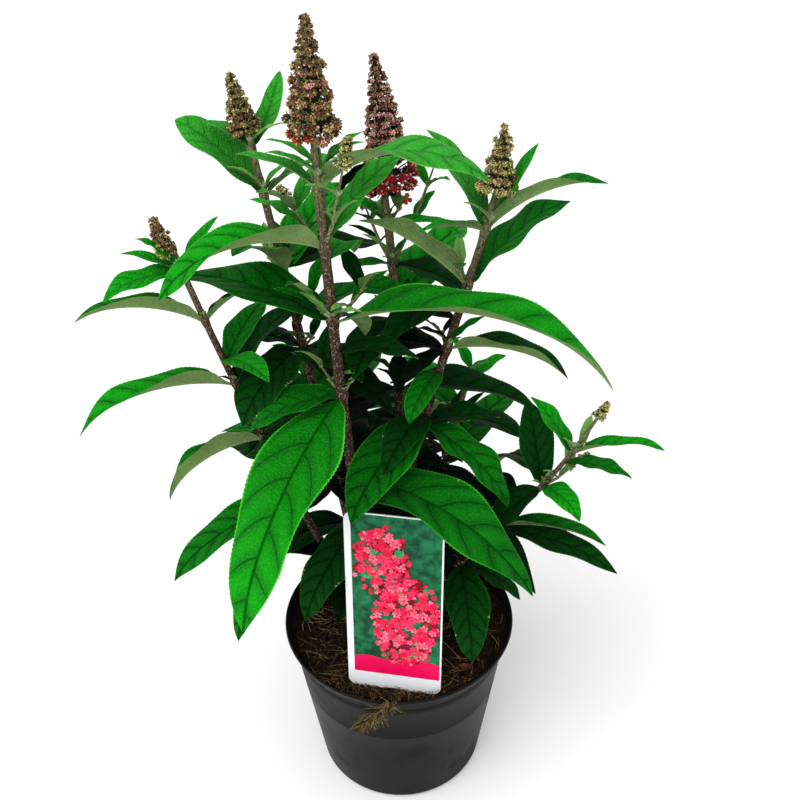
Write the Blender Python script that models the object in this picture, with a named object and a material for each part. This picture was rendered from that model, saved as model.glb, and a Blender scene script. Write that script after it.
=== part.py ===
"""A butterfly bush in a round nursery pot, with its plant label.

Metres, Z up, the origin at the centre of the pot's flat underside.
"""

import math
import random

import bmesh
import bpy
import numpy as np
from mathutils.bvhtree import BVHTree

CLEAR = 0.0003  # gap between neighbouring pieces
MARGIN = 0.0003  # room kept round every leaf

POT_HEIGHT = 0.150
RIM_RADIUS = 0.095
BAND_FOOT = 0.128
BODY_RADIUS = 0.0882  # just under the rim band
BAND_STEP = 0.0013  # half of what the band stands out from the body
BASE_RADIUS = 0.071
BASE_CORNER = 0.006
POT_WALL = 0.0016
FLOOR = 0.0025
POT_SIDES = 40

SOIL_TOP = 0.138
SOIL_LUMP = 0.0012
SOIL_RINGS = (0.046, 0.062, 0.076)

STOOL_CENTRE = (-0.012, 0.005)
STOOL_RADII = (0.034, 0.026)
STOOL_TOP = 0.158
STOOL_SIDES = 20

LABEL_FOOT = (-0.0042, -0.0727)
LABEL_SIZE = (0.0725, 0.158)
LABEL_CORNER = 0.007
LABEL_THICK = 0.0009
LABEL_YAW = -11
LABEL_LEAN = 4.3
STAKE_SIZE = (0.014, 0.050)
LABEL_LIFT = 0.0010  # card above the soil
STAKE_HEAD = 0.004  # height that the slot for the stake is cut to

# Each cane: foot, compass heading and how far it turns, lean at foot, middle and top,
# length, radii at foot and top, leaf pairs along it, length and radius of its flower spike.
CANES = {
    "middle": dict(
        foot=(-0.022, -0.006), heading=225, turn=42, leans=(6, 7, 9), length=0.405,
        girth=(0.0044, 0.0029), nodes=(0.060, 0.100, 0.148, 0.226, 0.286, 0.341, 0.380),
        spike=(0.074, 0.014), leaf=0.150, first=75, bare=0.042, split=0.256, shoots=0.5,
    ),
    "leftmid": dict(
        foot=(-0.027, 0.010), heading=168, turn=-8, leans=(8, 10, 10), length=0.390,
        girth=(0.0036, 0.0024), nodes=(0.060, 0.120, 0.180, 0.240, 0.298, 0.352, 0.384),
        spike=(0.042, 0.009), leaf=0.135, first=70, bare=0.042, split=0.210, shoots=0.5,
    ),
    "back": dict(
        foot=(-0.005, 0.020), heading=38, turn=96, leans=(9, 4, 11), length=0.338,
        girth=(0.0040, 0.0028), nodes=(0.060, 0.120, 0.192, 0.250, 0.290, 0.320),
        spike=(0.096, 0.017), leaf=0.160, first=95, bare=0.042, split=0.220, shoots=0.5,
    ),
    "right": dict(
        foot=(-0.003, 0.002), heading=12, turn=0, leans=(-3, 15, 14), length=0.352,
        girth=(0.0040, 0.0026), nodes=(0.060, 0.120, 0.180, 0.243, 0.292, 0.333),
        spike=(0.050, 0.010), leaf=0.150, first=20, bare=0.042, split=0.212, shoots=0.5,
    ),
    "farleft": dict(
        foot=(-0.032, 0.000), heading=186, turn=12, leans=(22, 18, 14), length=0.350,
        girth=(0.0034, 0.0020), nodes=(0.060, 0.125, 0.190, 0.240, 0.293, 0.330),
        spike=(0.024, 0.006), leaf=0.110, first=150, bare=0.045, split=0.214, shoots=0.9,
    ),
    "lowright": dict(
        foot=(0.010, -0.008), heading=-8, turn=-6, leans=(31, 36, 24), length=0.232,
        girth=(0.0028, 0.0016), nodes=(0.070, 0.124, 0.172, 0.210),
        spike=(0.018, 0.004), leaf=0.085, first=60, bare=0.050, split=None, shoots=0.9,
    ),
    "backleft": dict(
        foot=(-0.024, 0.024), heading=125, turn=0, leans=(20, 22, 16), length=0.190,
        girth=(0.0030, 0.0020), nodes=(0.060, 0.110, 0.150, 0.180),
        spike=None, leaf=0.150, first=60, bare=0.042, split=None, shoots=0.5,
    ),
    "backright": dict(
        foot=(0.008, 0.020), heading=56, turn=0, leans=(28, 32, 26), length=0.190,
        girth=(0.0030, 0.0020), nodes=(0.060, 0.108, 0.148, 0.180),
        spike=None, leaf=0.128, first=128, bare=0.042, split=None, shoots=0.5,
    ),
}

# The leaves that face the viewer: cane, place along it, heading, length, rise at the stem
# and how far the tip bends down from it, then width to length, roll and sideways sweep.
SHOWN = (
    ("middle", 0.226, 243, 0.178, -12, 50, 0.33, -6, 0),
    ("middle", 0.286, 343, 0.188, 23, 62, 0.28, 0, 0),
    ("middle", 0.148, 324, 0.166, 16, 62, 0.34, 0, 0),
    ("middle", 0.286, 163, 0.112, 22, 36, 0.44, 0, 0),
    ("middle", 0.341, 200, 0.112, 24, 72, 0.36, 15, 0),
    ("middle", 0.341, 15, 0.072, 62, 30, 0.40, -20, 0),
    ("middle", 0.380, 335, 0.112, 45, 85, 0.30, 0, 25),
    ("middle", 0.380, 185, 0.052, 45, 38, 0.34, 0, 0),
    ("middle", 0.226, 200, 0.068, 8, 38, 0.46, 0, 0),
    ("middle", 0.100, 235, 0.086, -10, 48, 0.40, 0, 0),
    ("middle", 0.060, 256, 0.062, 5, 40, 0.36, 0, 0),
    ("leftmid", 0.352, 176, 0.076, 56, 24, 0.46, 25, 0),
    ("leftmid", 0.384, 178, 0.036, 58, 30, 0.50, 0, 0),
    ("leftmid", 0.384, 45, 0.050, 50, -25, 0.44, -30, 0),
    ("leftmid", 0.240, 190, 0.058, 30, 30, 0.46, 0, 0),
    ("leftmid", 0.240, 236, 0.080, -4, 50, 0.52, 0, 0),
    ("leftmid", 0.240, 308, 0.066, 20, 48, 0.46, 0, 0),
    ("leftmid", 0.180, 222, 0.085, 10, 40, 0.42, 0, 0),
    ("right", 0.292, 169, 0.088, 45, 30, 0.34, 0, 0),
    ("back", 0.320, 350, 0.058, 15, 50, 0.24, 0, 0),
    ("back", 0.290, 335, 0.066, 16, 36, 0.46, 0, 0),
    ("back", 0.290, 225, 0.045, 26, 26, 0.40, 0, 0),
    ("back", 0.250, 242, 0.080, 12, 36, 0.44, 0, 0),
    ("back", 0.192, 215, 0.070, 10, 40, 0.50, 0, 0),
    ("back", 0.192, 352, 0.112, 16, 40, 0.40, 0, 0),
    ("back", 0.120, 336, 0.112, 0, 44, 0.36, 0, 0),
    ("right", 0.333, 356, 0.088, 47, 52, 0.30, 0, 0),
    ("right", 0.333, 152, 0.077, 68, 25, 0.32, 0, 0),
    ("right", 0.333, 205, 0.052, 25, 35, 0.34, 0, 0),
    ("right", 0.345, 10, 0.054, 40, -20, 0.32, 0, 0),
    ("right", 0.292, 8, 0.093, 55, 30, 0.34, 0, 0),
    ("right", 0.243, 343, 0.092, 18, 54, 0.36, 0, 0),
    ("right", 0.243, 200, 0.044, -18, 30, 0.45, 0, 0),
    ("right", 0.180, 230, 0.104, 6, 50, 0.44, 0, 0),
    ("right", 0.180, 355, 0.058, 22, 28, 0.46, 0, 0),
    ("right", 0.180, 325, 0.092, -10, 44, 0.34, 0, 0),
    ("farleft", 0.330, 186, 0.041, 38, 28, 0.34, 0, 0),
    ("farleft", 0.330, 36, 0.043, 58, 20, 0.34, 0, 0),
    ("farleft", 0.330, 215, 0.056, 16, 40, 0.42, 10, 0),
    ("farleft", 0.293, 195, 0.086, 33, 52, 0.28, 0, 0),
    ("farleft", 0.293, 20, 0.034, 45, 30, 0.34, 0, 0),
    ("farleft", 0.240, 204, 0.116, 21, 56, 0.30, 0, 0),
    ("farleft", 0.190, 211, 0.084, 11, 62, 0.36, 0, 0),
    ("farleft", 0.125, 211, 0.113, 8, 52, 0.34, 0, 0),
    ("farleft", 0.125, 242, 0.118, -10, 58, 0.32, 0, 0),
    ("lowright", 0.210, 350, 0.066, 28, 42, 0.26, 0, 0),
    ("lowright", 0.210, 140, 0.050, 55, 25, 0.34, 0, 0),
    ("lowright", 0.200, 335, 0.050, 18, 36, 0.32, 0, 0),
    ("lowright", 0.172, 104, 0.064, 66, 22, 0.42, 0, 0),
    ("lowright", 0.172, 300, 0.047, 28, 65, 0.45, 0, 0),
    ("lowright", 0.124, 343, 0.080, 17, 42, 0.30, 0, 0),
    ("lowright", 0.119, 337, 0.096, 9, 40, 0.30, 0, 0),
    ("lowright", 0.070, 277, 0.080, -12, 60, 0.42, 0, 0),
    ("lowright", 0.070, 335, 0.058, 5, 55, 0.34, 0, 0),
)

# Side shoots that face the viewer: cane, place along it, heading, lean, length, leaf length,
# and the length and radius of the young spike on their tip.
SHOOTS = (
    ("middle", 0.341, 310, 24, 0.042, 0.026, (0.024, 0.0045)),
    ("middle", 0.341, 150, 45, 0.028, 0.044, (0.012, 0.0035)),
    ("middle", 0.286, 156, 44, 0.022, 0.036, None),
    ("middle", 0.286, 25, 50, 0.028, 0.040, None),
    ("middle", 0.226, 147, 43, 0.024, 0.036, None),
    ("back", 0.290, 31, 30, 0.060, 0.034, (0.022, 0.0045)),
    ("back", 0.290, 145, 32, 0.034, 0.028, (0.012, 0.0035)),
    ("lowright", 0.172, 345, 55, 0.026, 0.026, (0.012, 0.0035)),
)

# Turns of heading and lean tried in order until a side shoot is clear of its neighbours.
SHOOT_TRIES = ((0, 0), (12, -6), (-12, -6), (24, 0), (-24, 0), (0, 12), (0, -12), (36, 0), (-36, 0))
# Changes of rise, heading and size tried in order for a leaf that is shown, and for any other.
SHOWN_TRIES = (
    (0, 0, 1), (5, 0, 1), (-5, 0, 1), (0, 6, 1), (0, -6, 1), (9, 5, 1), (-9, -5, 1), (12, 0, 0.95),
    (-12, 0, 0.95), (0, 12, 0.9), (0, -12, 0.9),
)
RULE_TURNS = (
    (0, 0), (10, 8), (-10, -8), (8, -16), (-8, 16), (20, 0), (-20, 0), (0, 26), (0, -26), (32, 8),
)
RULE_TRIES = tuple((rise, turn, size) for size in (1.0, 0.85, 0.7, 0.55) for rise, turn in RULE_TURNS)

SHOOT_RADII = (0.0014, 0.0009)
SHOOT_ROOT = 0.006  # length of a shoot that may touch its own cane
LONG_SHOOT = 0.02  # above this a shoot has a second pair of leaves
RULE_SHOOT = (0.012, 0.030)  # length, and its leaves' length
SAME_SIDE = 55  # degrees within which two shoots count as one
LEAF_WIDTH = 0.34
OUTLINE = (0.7, 1.1)  # how fast a leaf broadens from its stalk and narrows to its tip
LEAF_FOLD = 16
LEAF_ROOT = 0.10  # share of a leaf that may touch its own mass
STALK = 0.0012  # half the width of a leaf's stalk, at most
STALK_PER_LENGTH = 0.018
BUD = 0.0021  # radius of the bud on a side shoot's tip
YOUNG_SPIKE = 0.03  # spikes up to this length are young ones, with fewer tiers
SPIKE_FORM = (6, 7)  # tiers and sides
YOUNG_FORM = (2, 5)
COLLAR = 0.006  # reach of the swelling at a leaf pair
CANE_SIDES = 6
BOUGH_SIDES = 8
SHOOT_SIDES = 4
WELD = 0.0000005
SEED = 11


def unit(vector):
    return vector / np.linalg.norm(vector)


def heading_vector(heading, lean):
    """Unit vector tipped from the vertical towards a heading."""
    around, down = math.radians(heading), math.radians(lean)
    level = math.sin(down)
    return np.array([level * math.cos(around), level * math.sin(around), math.cos(down)])


def stem_path(start, heading, turn, leans, length, steps):
    """Points and directions along a stem, its lean a curve through foot, middle and top."""
    foot, middle, top = leans
    points, ways = [np.array(start, float)], []
    for i in range(steps):
        s = (i + 0.5) / steps
        lean = foot * (1 - s) * (1 - 2 * s) + 4 * middle * s * (1 - s) + top * s * (2 * s - 1)
        ways.append(heading_vector(heading + turn * s, lean))
        points.append(points[-1] + ways[-1] * length / steps)
    return np.array(points), np.array(ways + ways[-1:])


def on_path(stem, at):
    """Point and direction a distance along a stem."""
    path, ways = stem["path"], stem["ways"]
    steps = len(path) - 1
    place = min(max(at / stem["length"] * steps, 0), steps - 1e-9)
    i = int(place)
    share = place - i
    return path[i] + (path[i + 1] - path[i]) * share, unit(ways[i] + (ways[i + 1] - ways[i]) * share)


def stalk_of(leaf):
    """Half the width of a leaf's stalk, thinner on a small leaf."""
    return min(STALK, STALK_PER_LENGTH * leaf["length"])


def half_width(leaf, s):
    """Half the breadth of a lance-shaped leaf, widest at a third of its length."""
    t = max(0.0, (s - 0.04) / 0.96)
    if t >= 1:
        return 0
    swell = t**OUTLINE[0] * (1 - t) ** OUTLINE[1]
    peak = OUTLINE[0] / sum(OUTLINE)
    most = peak ** OUTLINE[0] * (1 - peak) ** OUTLINE[1]
    return 0.5 * leaf["length"] * leaf["width"] * swell / most + stalk_of(leaf) * (1 - s)


def leaf_frames(leaf, stations):
    """Midrib points with the leaf's side and up vectors, at fractions of its length."""
    points, sides, ups = [], [], []
    at, last = np.array(leaf["base"], float), 0.0
    for s in stations:
        for part in range(3):
            t = last + (s - last) * (part + 0.5) / 3
            tip = leaf["rise"] - leaf["droop"] * t**1.2
            along = heading_vector(leaf["heading"] + leaf["sweep"] * t, 90 - tip)
            at = at + along * leaf["length"] * (s - last) / 3
        last = s
        tip = leaf["rise"] - leaf["droop"] * s**1.2
        heading = leaf["heading"] + leaf["sweep"] * s
        along = heading_vector(heading, 90 - tip)
        flat = np.array([math.sin(math.radians(heading)), -math.cos(math.radians(heading)), 0.0])
        roll = math.radians(leaf["roll"] * (0.4 + 0.6 * s))
        side = flat * math.cos(roll) + np.cross(flat, along) * math.sin(roll)
        points.append(at)
        sides.append(side)
        ups.append(np.cross(side, along))
    return points, sides, ups


def leaf_stations(length, start):
    """Where a leaf has its cross sections, fewer on a small leaf."""
    if length > 0.07:
        inner = (0.08, 0.28, 0.55, 0.80)
    elif length > 0.04:
        inner = (0.09, 0.34, 0.66)
    else:
        inner = (0.12, 0.45)
    return [start] + [s for s in inner if s > start + 0.02] + [1.0]


def leaf_solid(leaf, start=0.0, grow=0.0):
    """A folded lens of four corners a section, drawn out to one point at the tip."""
    stations = leaf_stations(leaf["length"], start)
    middle, side, up = leaf_frames(leaf, stations)
    fold = math.radians(LEAF_FOLD)
    points, faces = [], []
    for i, s in enumerate(stations[:-1]):
        wide = half_width(leaf, s) + grow
        thick = max(0.0006, leaf["length"] / 180) * (1 - 0.35 * s) + grow
        bend = fold * min(1, s / 0.2)
        lift = up[i] * wide * math.sin(bend)
        out = side[i] * wide * math.cos(bend)
        rib = up[i] * thick
        points += [middle[i] - out + lift, middle[i] + rib, middle[i] + out + lift, middle[i] - rib]
    points.append(middle[-1] + (middle[-1] - middle[-2]) / 100)
    for i in range(len(stations) - 2):
        for j in range(4):
            a, b = 4 * i + j, 4 * i + (j + 1) % 4
            faces.append((a, b, b + 4, a + 4))
    last, tip = len(points) - 5, len(points) - 1
    faces += [(last + j, last + (j + 1) % 4, tip) for j in range(4)]
    faces.append((3, 2, 1, 0))
    return points, faces


def tube(path, ways, radii, sides, level_foot=False):
    """A closed round limb through the path; a level foot stands on a horizontal plane."""
    points, faces = [], []
    across = unit(np.cross(ways[0], (0.0, 1.0, 0.0)) + np.array([1e-6, 0, 0]))
    for i, (at, way, radius) in enumerate(zip(path, ways, radii)):
        across = unit(across - way * across.dot(way))
        other = np.cross(way, across)
        for j in range(sides):
            turn = math.tau * j / sides
            point = at + (across * math.cos(turn) + other * math.sin(turn)) * radius
            if level_foot and i == 0:
                point = point - way * (point[2] - at[2]) / way[2]
            points.append(point)
    for i in range(len(path) - 1):
        for j in range(sides):
            a, b = sides * i + j, sides * i + (j + 1) % sides
            faces.append((a, b, b + sides, a + sides))
    faces.append(tuple(reversed(range(sides))))
    faces.append(tuple(range(len(points) - sides, len(points))))
    return points, faces


def spike_solid(foot, way, length, radius, tiers, sides):
    """A flower spike: tiers of buds narrowing to a blunt tip."""
    path, radii = [foot - way * length * 0.03], [radius * 0.35]
    for i in range(tiers):
        s = (i + 0.25) / tiers
        full = radius * (1 - s) ** 0.7
        path += [foot + way * length * (i + 0.35) / tiers, foot + way * length * (i + 0.85) / tiers]
        radii += [full, full * 0.7]
    path.append(foot + way * length)
    radii.append(radius * 0.12)
    return tube(np.array(path), [way] * len(path), radii, sides)


def bud_solid(centre, way):
    """The bud that a side shoot's last leaves grow from."""
    path = [centre + way * BUD * height for height in (-1, 0, 1.5)]
    return tube(path, [way] * 3, [BUD * 0.5, BUD, BUD * 0.3], 5)


def cane_radius(cane, at):
    """Taper with a slight swelling at each leaf pair."""
    foot, top = cane["girth"]
    swell = sum(math.exp(-(((at - node) * 1.5 / COLLAR) ** 2)) for node in cane["nodes"])
    return (foot + (top - foot) * at / cane["length"]) * (1 + 0.30 * swell)


def limb_between(cane, start, end, sides, step, level_foot=False):
    """The stretch of a cane between two distances along it, with a collar at each leaf pair."""
    count = max(2, round((end - start) / step))
    marks = [start + (end - start) * i / count for i in range(count + 1)]
    collars = [at for at in cane["nodes"] if start + 1.3 * COLLAR < at < end - 1.3 * COLLAR]
    marks = [at for at in marks if all(abs(at - collar) > 1.5 * COLLAR for collar in collars)]
    marks = sorted(marks + [at + shift for at in collars for shift in (-COLLAR, 0, COLLAR)])
    places = [on_path(cane, at) for at in marks]
    radii = [cane_radius(cane, at) for at in marks]
    return tube([p for p, _ in places], [w for _, w in places], radii, sides, level_foot)


def grow_canes():
    """The canes with their paths worked out."""
    canes = {}
    for name, cane in CANES.items():
        start = (*cane["foot"], STOOL_TOP + CLEAR)
        path, ways = stem_path(start, cane["heading"], cane["turn"], cane["leans"], cane["length"], 24)
        canes[name] = dict(cane, path=path, ways=ways)
    return canes


def part_of(cane_name, cane, at):
    """The mass that a leaf at this place belongs to."""
    if cane["split"] is None:
        return cane_name + "_foliage"
    return cane_name + ("_lower_foliage" if at < cane["split"] else "_upper_foliage")


def make_leaf(stem, at, heading, length, rise, droop, width=LEAF_WIDTH, roll=0, sweep=0):
    """A leaf's sizes and the place on the stem that it grows from."""
    base, _ = on_path(stem, at)
    leaf = dict(base=base, heading=heading, length=length, rise=rise, droop=droop)
    leaf.update(width=width, roll=roll, sweep=sweep)
    return leaf


def tree_of(solid):
    """A solid's faces for testing what it touches, with its lowest and highest corner."""
    points, faces = solid
    tree = BVHTree.FromPolygons([tuple(p) for p in points], faces)
    return tree, np.min(points, axis=0), np.max(points, axis=0)


def joined(solids):
    """Several solids as one list of points and faces."""
    points, faces = [], []
    for more_points, more_faces in solids:
        first = len(points)
        points += list(more_points)
        faces += [tuple(first + corner for corner in face) for face in more_faces]
    return points, faces


def trees_meet(one, other):
    """Whether two trees touch, by their boxes first."""
    if (one[1] > other[2]).any() or (other[1] > one[2]).any():
        return False
    return bool(one[0].overlap(other[0]))


class Room:
    """What stands already, for keeping each new leaf and shoot clear of it."""

    def __init__(self):
        self.fixed = []
        self.grown = []

    def add_fixed(self, mass, solid):
        self.fixed.append((mass, tree_of(solid)))

    def free(self, mass, whole, blade):
        """Whether a piece clears the other masses whole, and its own mass apart from its root."""
        if any(owner != mass and trees_meet(whole, tree) for owner, tree in self.fixed):
            return False
        for owner, other_whole, other_blade in self.grown:
            mine, theirs = (blade, other_blade) if owner == mass else (whole, other_whole)
            if trees_meet(mine, theirs):
                return False
        return True

    def take(self, mass, whole, blade):
        self.grown.append((mass, whole, blade))


def leaf_trees(leaf):
    return tree_of(leaf_solid(leaf, 0.0, MARGIN)), tree_of(leaf_solid(leaf, LEAF_ROOT, MARGIN))


def place_leaf(room, mass, leaf, tries):
    """The leaf, turned a little where it would touch what stands already, or None."""
    for rise, turn, size in tries:
        turned = dict(
            leaf,
            rise=leaf["rise"] + rise,
            heading=leaf["heading"] + turn,
            length=leaf["length"] * size,
        )
        whole, blade = leaf_trees(turned)
        if room.free(mass, whole, blade):
            room.take(mass, whole, blade)
            return turned
    return None


def rule_leaves(name, cane, dice):
    """Opposite pairs, each turned a quarter from the last, longest low on the cane.

    Where one leaf of a pair is shown, only its mate is left to grow.
    """
    for i, at in enumerate(cane["nodes"]):
        s = at / cane["length"]
        length = cane["leaf"] * (0.62 + 1.5 * s - 1.85 * s * s)
        shown = [row[2] for row in SHOWN if row[0] == name and row[1] == at]
        for half in (0, 180):
            heading = (shown[0] if shown else cane["first"] + 90 * (i % 2)) + half + dice.uniform(-10, 10)
            rise = 8 + 38 * s + dice.uniform(-6, 6)
            droop = 58 - 22 * s + dice.uniform(-8, 8)
            size = dice.uniform(0.88, 1.08)
            if len(shown) < 2 and not (shown and half == 0):
                yield at, heading % 360, length * size, rise, droop


def near_heading(one, other):
    return abs((one - other + 180) % 360 - 180) < SAME_SIDE


def shoot_stalk(stem, at, heading, lean, length):
    """A side shoot's stalk and bud with the trees that keep their room."""
    base, _ = on_path(stem, at)
    path, ways = stem_path(base, heading, 0, (lean + 8, lean, lean - 12), length, 2)
    shoot = dict(path=path, ways=ways, length=length, heading=heading)
    radii = np.linspace(*SHOOT_RADII, 3)
    stalk, bud = tube(path, ways, radii, SHOOT_SIDES), bud_solid(path[-1], ways[-1])
    outer = [on_path(shoot, place) for place in (SHOOT_ROOT, (SHOOT_ROOT + length) / 2, length)]
    bare = tube([point for point, _ in outer], [way for _, way in outer], radii + MARGIN, SHOOT_SIDES)
    whole = tree_of(joined([tube(path, ways, radii + MARGIN, SHOOT_SIDES), bud]))
    return shoot, [stalk, bud], (whole, tree_of(joined([bare, bud])))


def grow_shoot(room, mass, stem, row, dice):
    """A side shoot with a pair of leaves part way and a pair at its tip, or None if it doesn't fit."""
    at, heading, lean, length, leaf_length, spike = row
    for turn, tip in SHOOT_TRIES:
        shoot, solids, trees = shoot_stalk(stem, at, heading + turn, lean + tip, length)
        if room.free(mass, *trees):
            break
    else:
        return None
    spots = [(length, 90, 1.0), (length, -90, 0.9)]
    if length > LONG_SHOOT:
        spots += [(length * 0.55, 20, 0.9), (length * 0.55, 200, 0.6)]
    leaves = []
    for where, turn, size in spots:
        heading = (shoot["heading"] + turn) % 360
        rise = 48 + dice.uniform(-10, 10)
        leaf = make_leaf(shoot, where, heading, leaf_length * size, rise, 30, 0.30)
        leaves.append(place_leaf(room, mass, leaf, RULE_TRIES[:5]))
    room.take(mass, *trees)
    spikes = []
    if spike:
        spikes.append((shoot["path"][-1], shoot["ways"][-1], *spike))
        tip = tree_of(spike_solid(*spikes[0], *YOUNG_FORM))
        room.take(mass, tip, tip)
    return dict(stems=solids, leaves=[leaf for leaf in leaves if leaf], spikes=spikes)


def add_top_spikes(canes, masses, room):
    """The flower spike on the tip of each cane that has one."""
    for name, cane in canes.items():
        if cane["spike"]:
            foot, way = on_path(cane, cane["length"])
            length, radius = cane["spike"]
            masses[part_of(name, cane, cane["length"])]["spikes"].append((foot, way, length, radius))
            clear = spike_solid(foot + way * BUD * 2, way, length + MARGIN, radius + MARGIN, *SPIKE_FORM)
            room.add_fixed(None, clear)


def add_shown_leaves(canes, masses, room):
    for name, at, heading, *sizes in SHOWN:
        cane = canes[name]
        mass = part_of(name, cane, at)
        placed = place_leaf(room, mass, make_leaf(cane, at, heading, *sizes), SHOWN_TRIES)
        if placed:
            masses[mass]["leaves"].append(placed)


def add_shoot(canes, masses, room, name, row, dice):
    """Grows one side shoot on a cane, where it fits."""
    mass = part_of(name, canes[name], row[0])
    grown = grow_shoot(room, mass, canes[name], row, dice)
    for kind, pieces in (grown or {}).items():
        masses[mass][kind] += pieces


def add_rule_leaves(canes, masses, room, dice):
    for name, cane in canes.items():
        for at, *sizes in rule_leaves(name, cane, dice):
            mass = part_of(name, cane, at)
            placed = place_leaf(room, mass, make_leaf(cane, at, *sizes), RULE_TRIES)
            if placed:
                masses[mass]["leaves"].append(placed)


def add_rule_shoots(canes, masses, room, dice):
    """A short shoot in the axil of each upper leaf where none is shown."""
    for name, cane in canes.items():
        for i, at in enumerate(cane["nodes"]):
            if at < cane["length"] * cane["shoots"]:
                continue
            shown = [row[2] for row in SHOOTS if row[0] == name and row[1] == at]
            for half in (0, 180):
                heading = (cane["first"] + 90 * (i % 2) + half + dice.uniform(-25, 25)) % 360
                lean, size = 38 + dice.uniform(-8, 8), dice.uniform(0.8, 1.2)
                if not any(near_heading(heading, other) for other in shown):
                    row = (at, heading, lean, RULE_SHOOT[0] * size, RULE_SHOOT[1] * size, None)
                    add_shoot(canes, masses, room, name, row, dice)


def grow_plant(canes, room):
    """Leaves, stems and spikes of each mass: {mass: dict(leaves, stems, spikes)}."""
    masses = {}
    for name, cane in canes.items():
        for mass in mass_spans(name, cane):
            masses[mass] = dict(leaves=[], stems=[], spikes=[])
    dice = random.Random(SEED)
    add_top_spikes(canes, masses, room)
    add_shown_leaves(canes, masses, room)
    for name, *row in SHOOTS:
        add_shoot(canes, masses, room, name, row, dice)
    add_rule_leaves(canes, masses, room, dice)
    add_rule_shoots(canes, masses, room, dice)
    return masses


def material(name, colour, roughness, metallic=0.0):
    made = bpy.data.materials.new(name)
    made.use_nodes = True
    shader = made.node_tree.nodes["Principled BSDF"]
    shader.inputs["Base Color"].default_value = (*colour, 1)
    shader.inputs["Roughness"].default_value = roughness
    shader.inputs["Metallic"].default_value = metallic
    return made


def mesh_object(name, solid, made):
    points, faces = solid
    mesh = bpy.data.meshes.new(name)
    mesh.from_pydata([tuple(float(c) for c in p) for p in points], [], faces)
    mesh.materials.append(made)
    obj = bpy.data.objects.new(name, mesh)
    bpy.context.scene.collection.objects.link(obj)
    return obj


def outward(obj):
    work = bmesh.new()
    work.from_mesh(obj.data)
    bmesh.ops.recalc_face_normals(work, faces=work.faces)
    if work.calc_volume(signed=True) < 0:
        bmesh.ops.reverse_faces(work, faces=work.faces)
    work.to_mesh(obj.data)
    work.free()
    return obj


def island_of(start, seen):
    """Every face joined to this one through edges."""
    found, queue = [], [start]
    seen.add(start)
    while queue:
        face = queue.pop()
        found.append(face)
        for edge in face.edges:
            for other in edge.link_faces:
                if other not in seen:
                    seen.add(other)
                    queue.append(other)
    return found


def face_islands(work):
    """The separate skins of a mesh, the one of most faces last."""
    seen, islands = set(), []
    for face in work.faces:
        if face not in seen:
            islands.append(island_of(face, seen))
    return sorted(islands, key=len)


def keep_largest(mesh):
    """Drops loose scraps and fills sealed hollows, leaving the outer skin."""
    work = bmesh.new()
    work.from_mesh(mesh)
    scraps = [face for island in face_islands(work)[:-1] for face in island]
    bmesh.ops.delete(work, geom=scraps, context="FACES")
    work.to_mesh(mesh)
    work.free()


def is_sound(mesh):
    """One closed skin, also once points that nearly coincide are merged."""
    work = bmesh.new()
    work.from_mesh(mesh)
    sound = len(work.faces) > 0 and all(edge.is_manifold for edge in work.edges)
    bmesh.ops.remove_doubles(work, verts=work.verts, dist=WELD)
    sound = sound and all(edge.is_manifold for edge in work.edges) and len(face_islands(work)) == 1
    sound = sound and all(vertex.is_manifold for vertex in work.verts)
    work.free()
    return sound


def boolean(obj, operation, others, solver):
    """The object with a Boolean by a collection of others, as a new mesh."""
    group = bpy.data.collections.new(obj.name + "_pieces")
    for other in others:
        group.objects.link(other)
    step = obj.modifiers.new("Join", "BOOLEAN")
    step.operation = operation
    step.operand_type = "COLLECTION"
    step.collection = group
    step.solver = solver
    bpy.context.view_layer.update()
    seen = obj.evaluated_get(bpy.context.evaluated_depsgraph_get())
    mesh = bpy.data.meshes.new_from_object(seen)
    obj.modifiers.remove(step)
    bpy.data.collections.remove(group)
    return mesh


def apply_boolean(obj, operation, solids, made):
    """The exact solver first, and the other where that leaves an unsound mesh. Says whether it is sound."""
    others = [outward(mesh_object("piece", solid, made)) for solid in solids]
    for solver in ("EXACT", "MANIFOLD"):
        mesh = boolean(obj, operation, others, solver)
        keep_largest(mesh)
        sound = is_sound(mesh)
        if sound:
            break
    obj.data = mesh
    for other in others:
        bpy.data.objects.remove(other, do_unlink=True)
    return sound


def ring_solid(profile, sides):
    """A closed body turned round Z from (radius, height) pairs that start and end on the axis."""
    points = [(0, 0, profile[0][1])]
    for radius, height in profile[1:-1]:
        for j in range(sides):
            turn = math.tau * j / sides
            points.append((radius * math.cos(turn), radius * math.sin(turn), height))
    points.append((0, 0, profile[-1][1]))
    faces = [(0, 1 + (j + 1) % sides, 1 + j) for j in range(sides)]
    for i in range(len(profile) - 3):
        for j in range(sides):
            a, b = 1 + sides * i + j, 1 + sides * i + (j + 1) % sides
            faces.append((a, b, b + sides, a + sides))
    last, top = 1 + sides * (len(profile) - 3), len(points) - 1
    faces += [(last + j, last + (j + 1) % sides, top) for j in range(sides)]
    return points, faces


def pot_outside():
    """(radius, height) pairs up the outside, from the flat underside to the lip."""
    return [
        (BASE_RADIUS - BASE_CORNER, 0.0),
        (BASE_RADIUS - BASE_CORNER * 0.3, BASE_CORNER * 0.3),
        (BASE_RADIUS + 0.0004, BASE_CORNER),
        (BODY_RADIUS - BAND_STEP, BAND_FOOT - 0.0006),
        (BODY_RADIUS + BAND_STEP, BAND_FOOT + 0.0012),
        (RIM_RADIUS - 0.0008, POT_HEIGHT - 0.0030),
        (RIM_RADIUS, POT_HEIGHT - 0.0016),
        (RIM_RADIUS - 0.0005, POT_HEIGHT),
    ]


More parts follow.
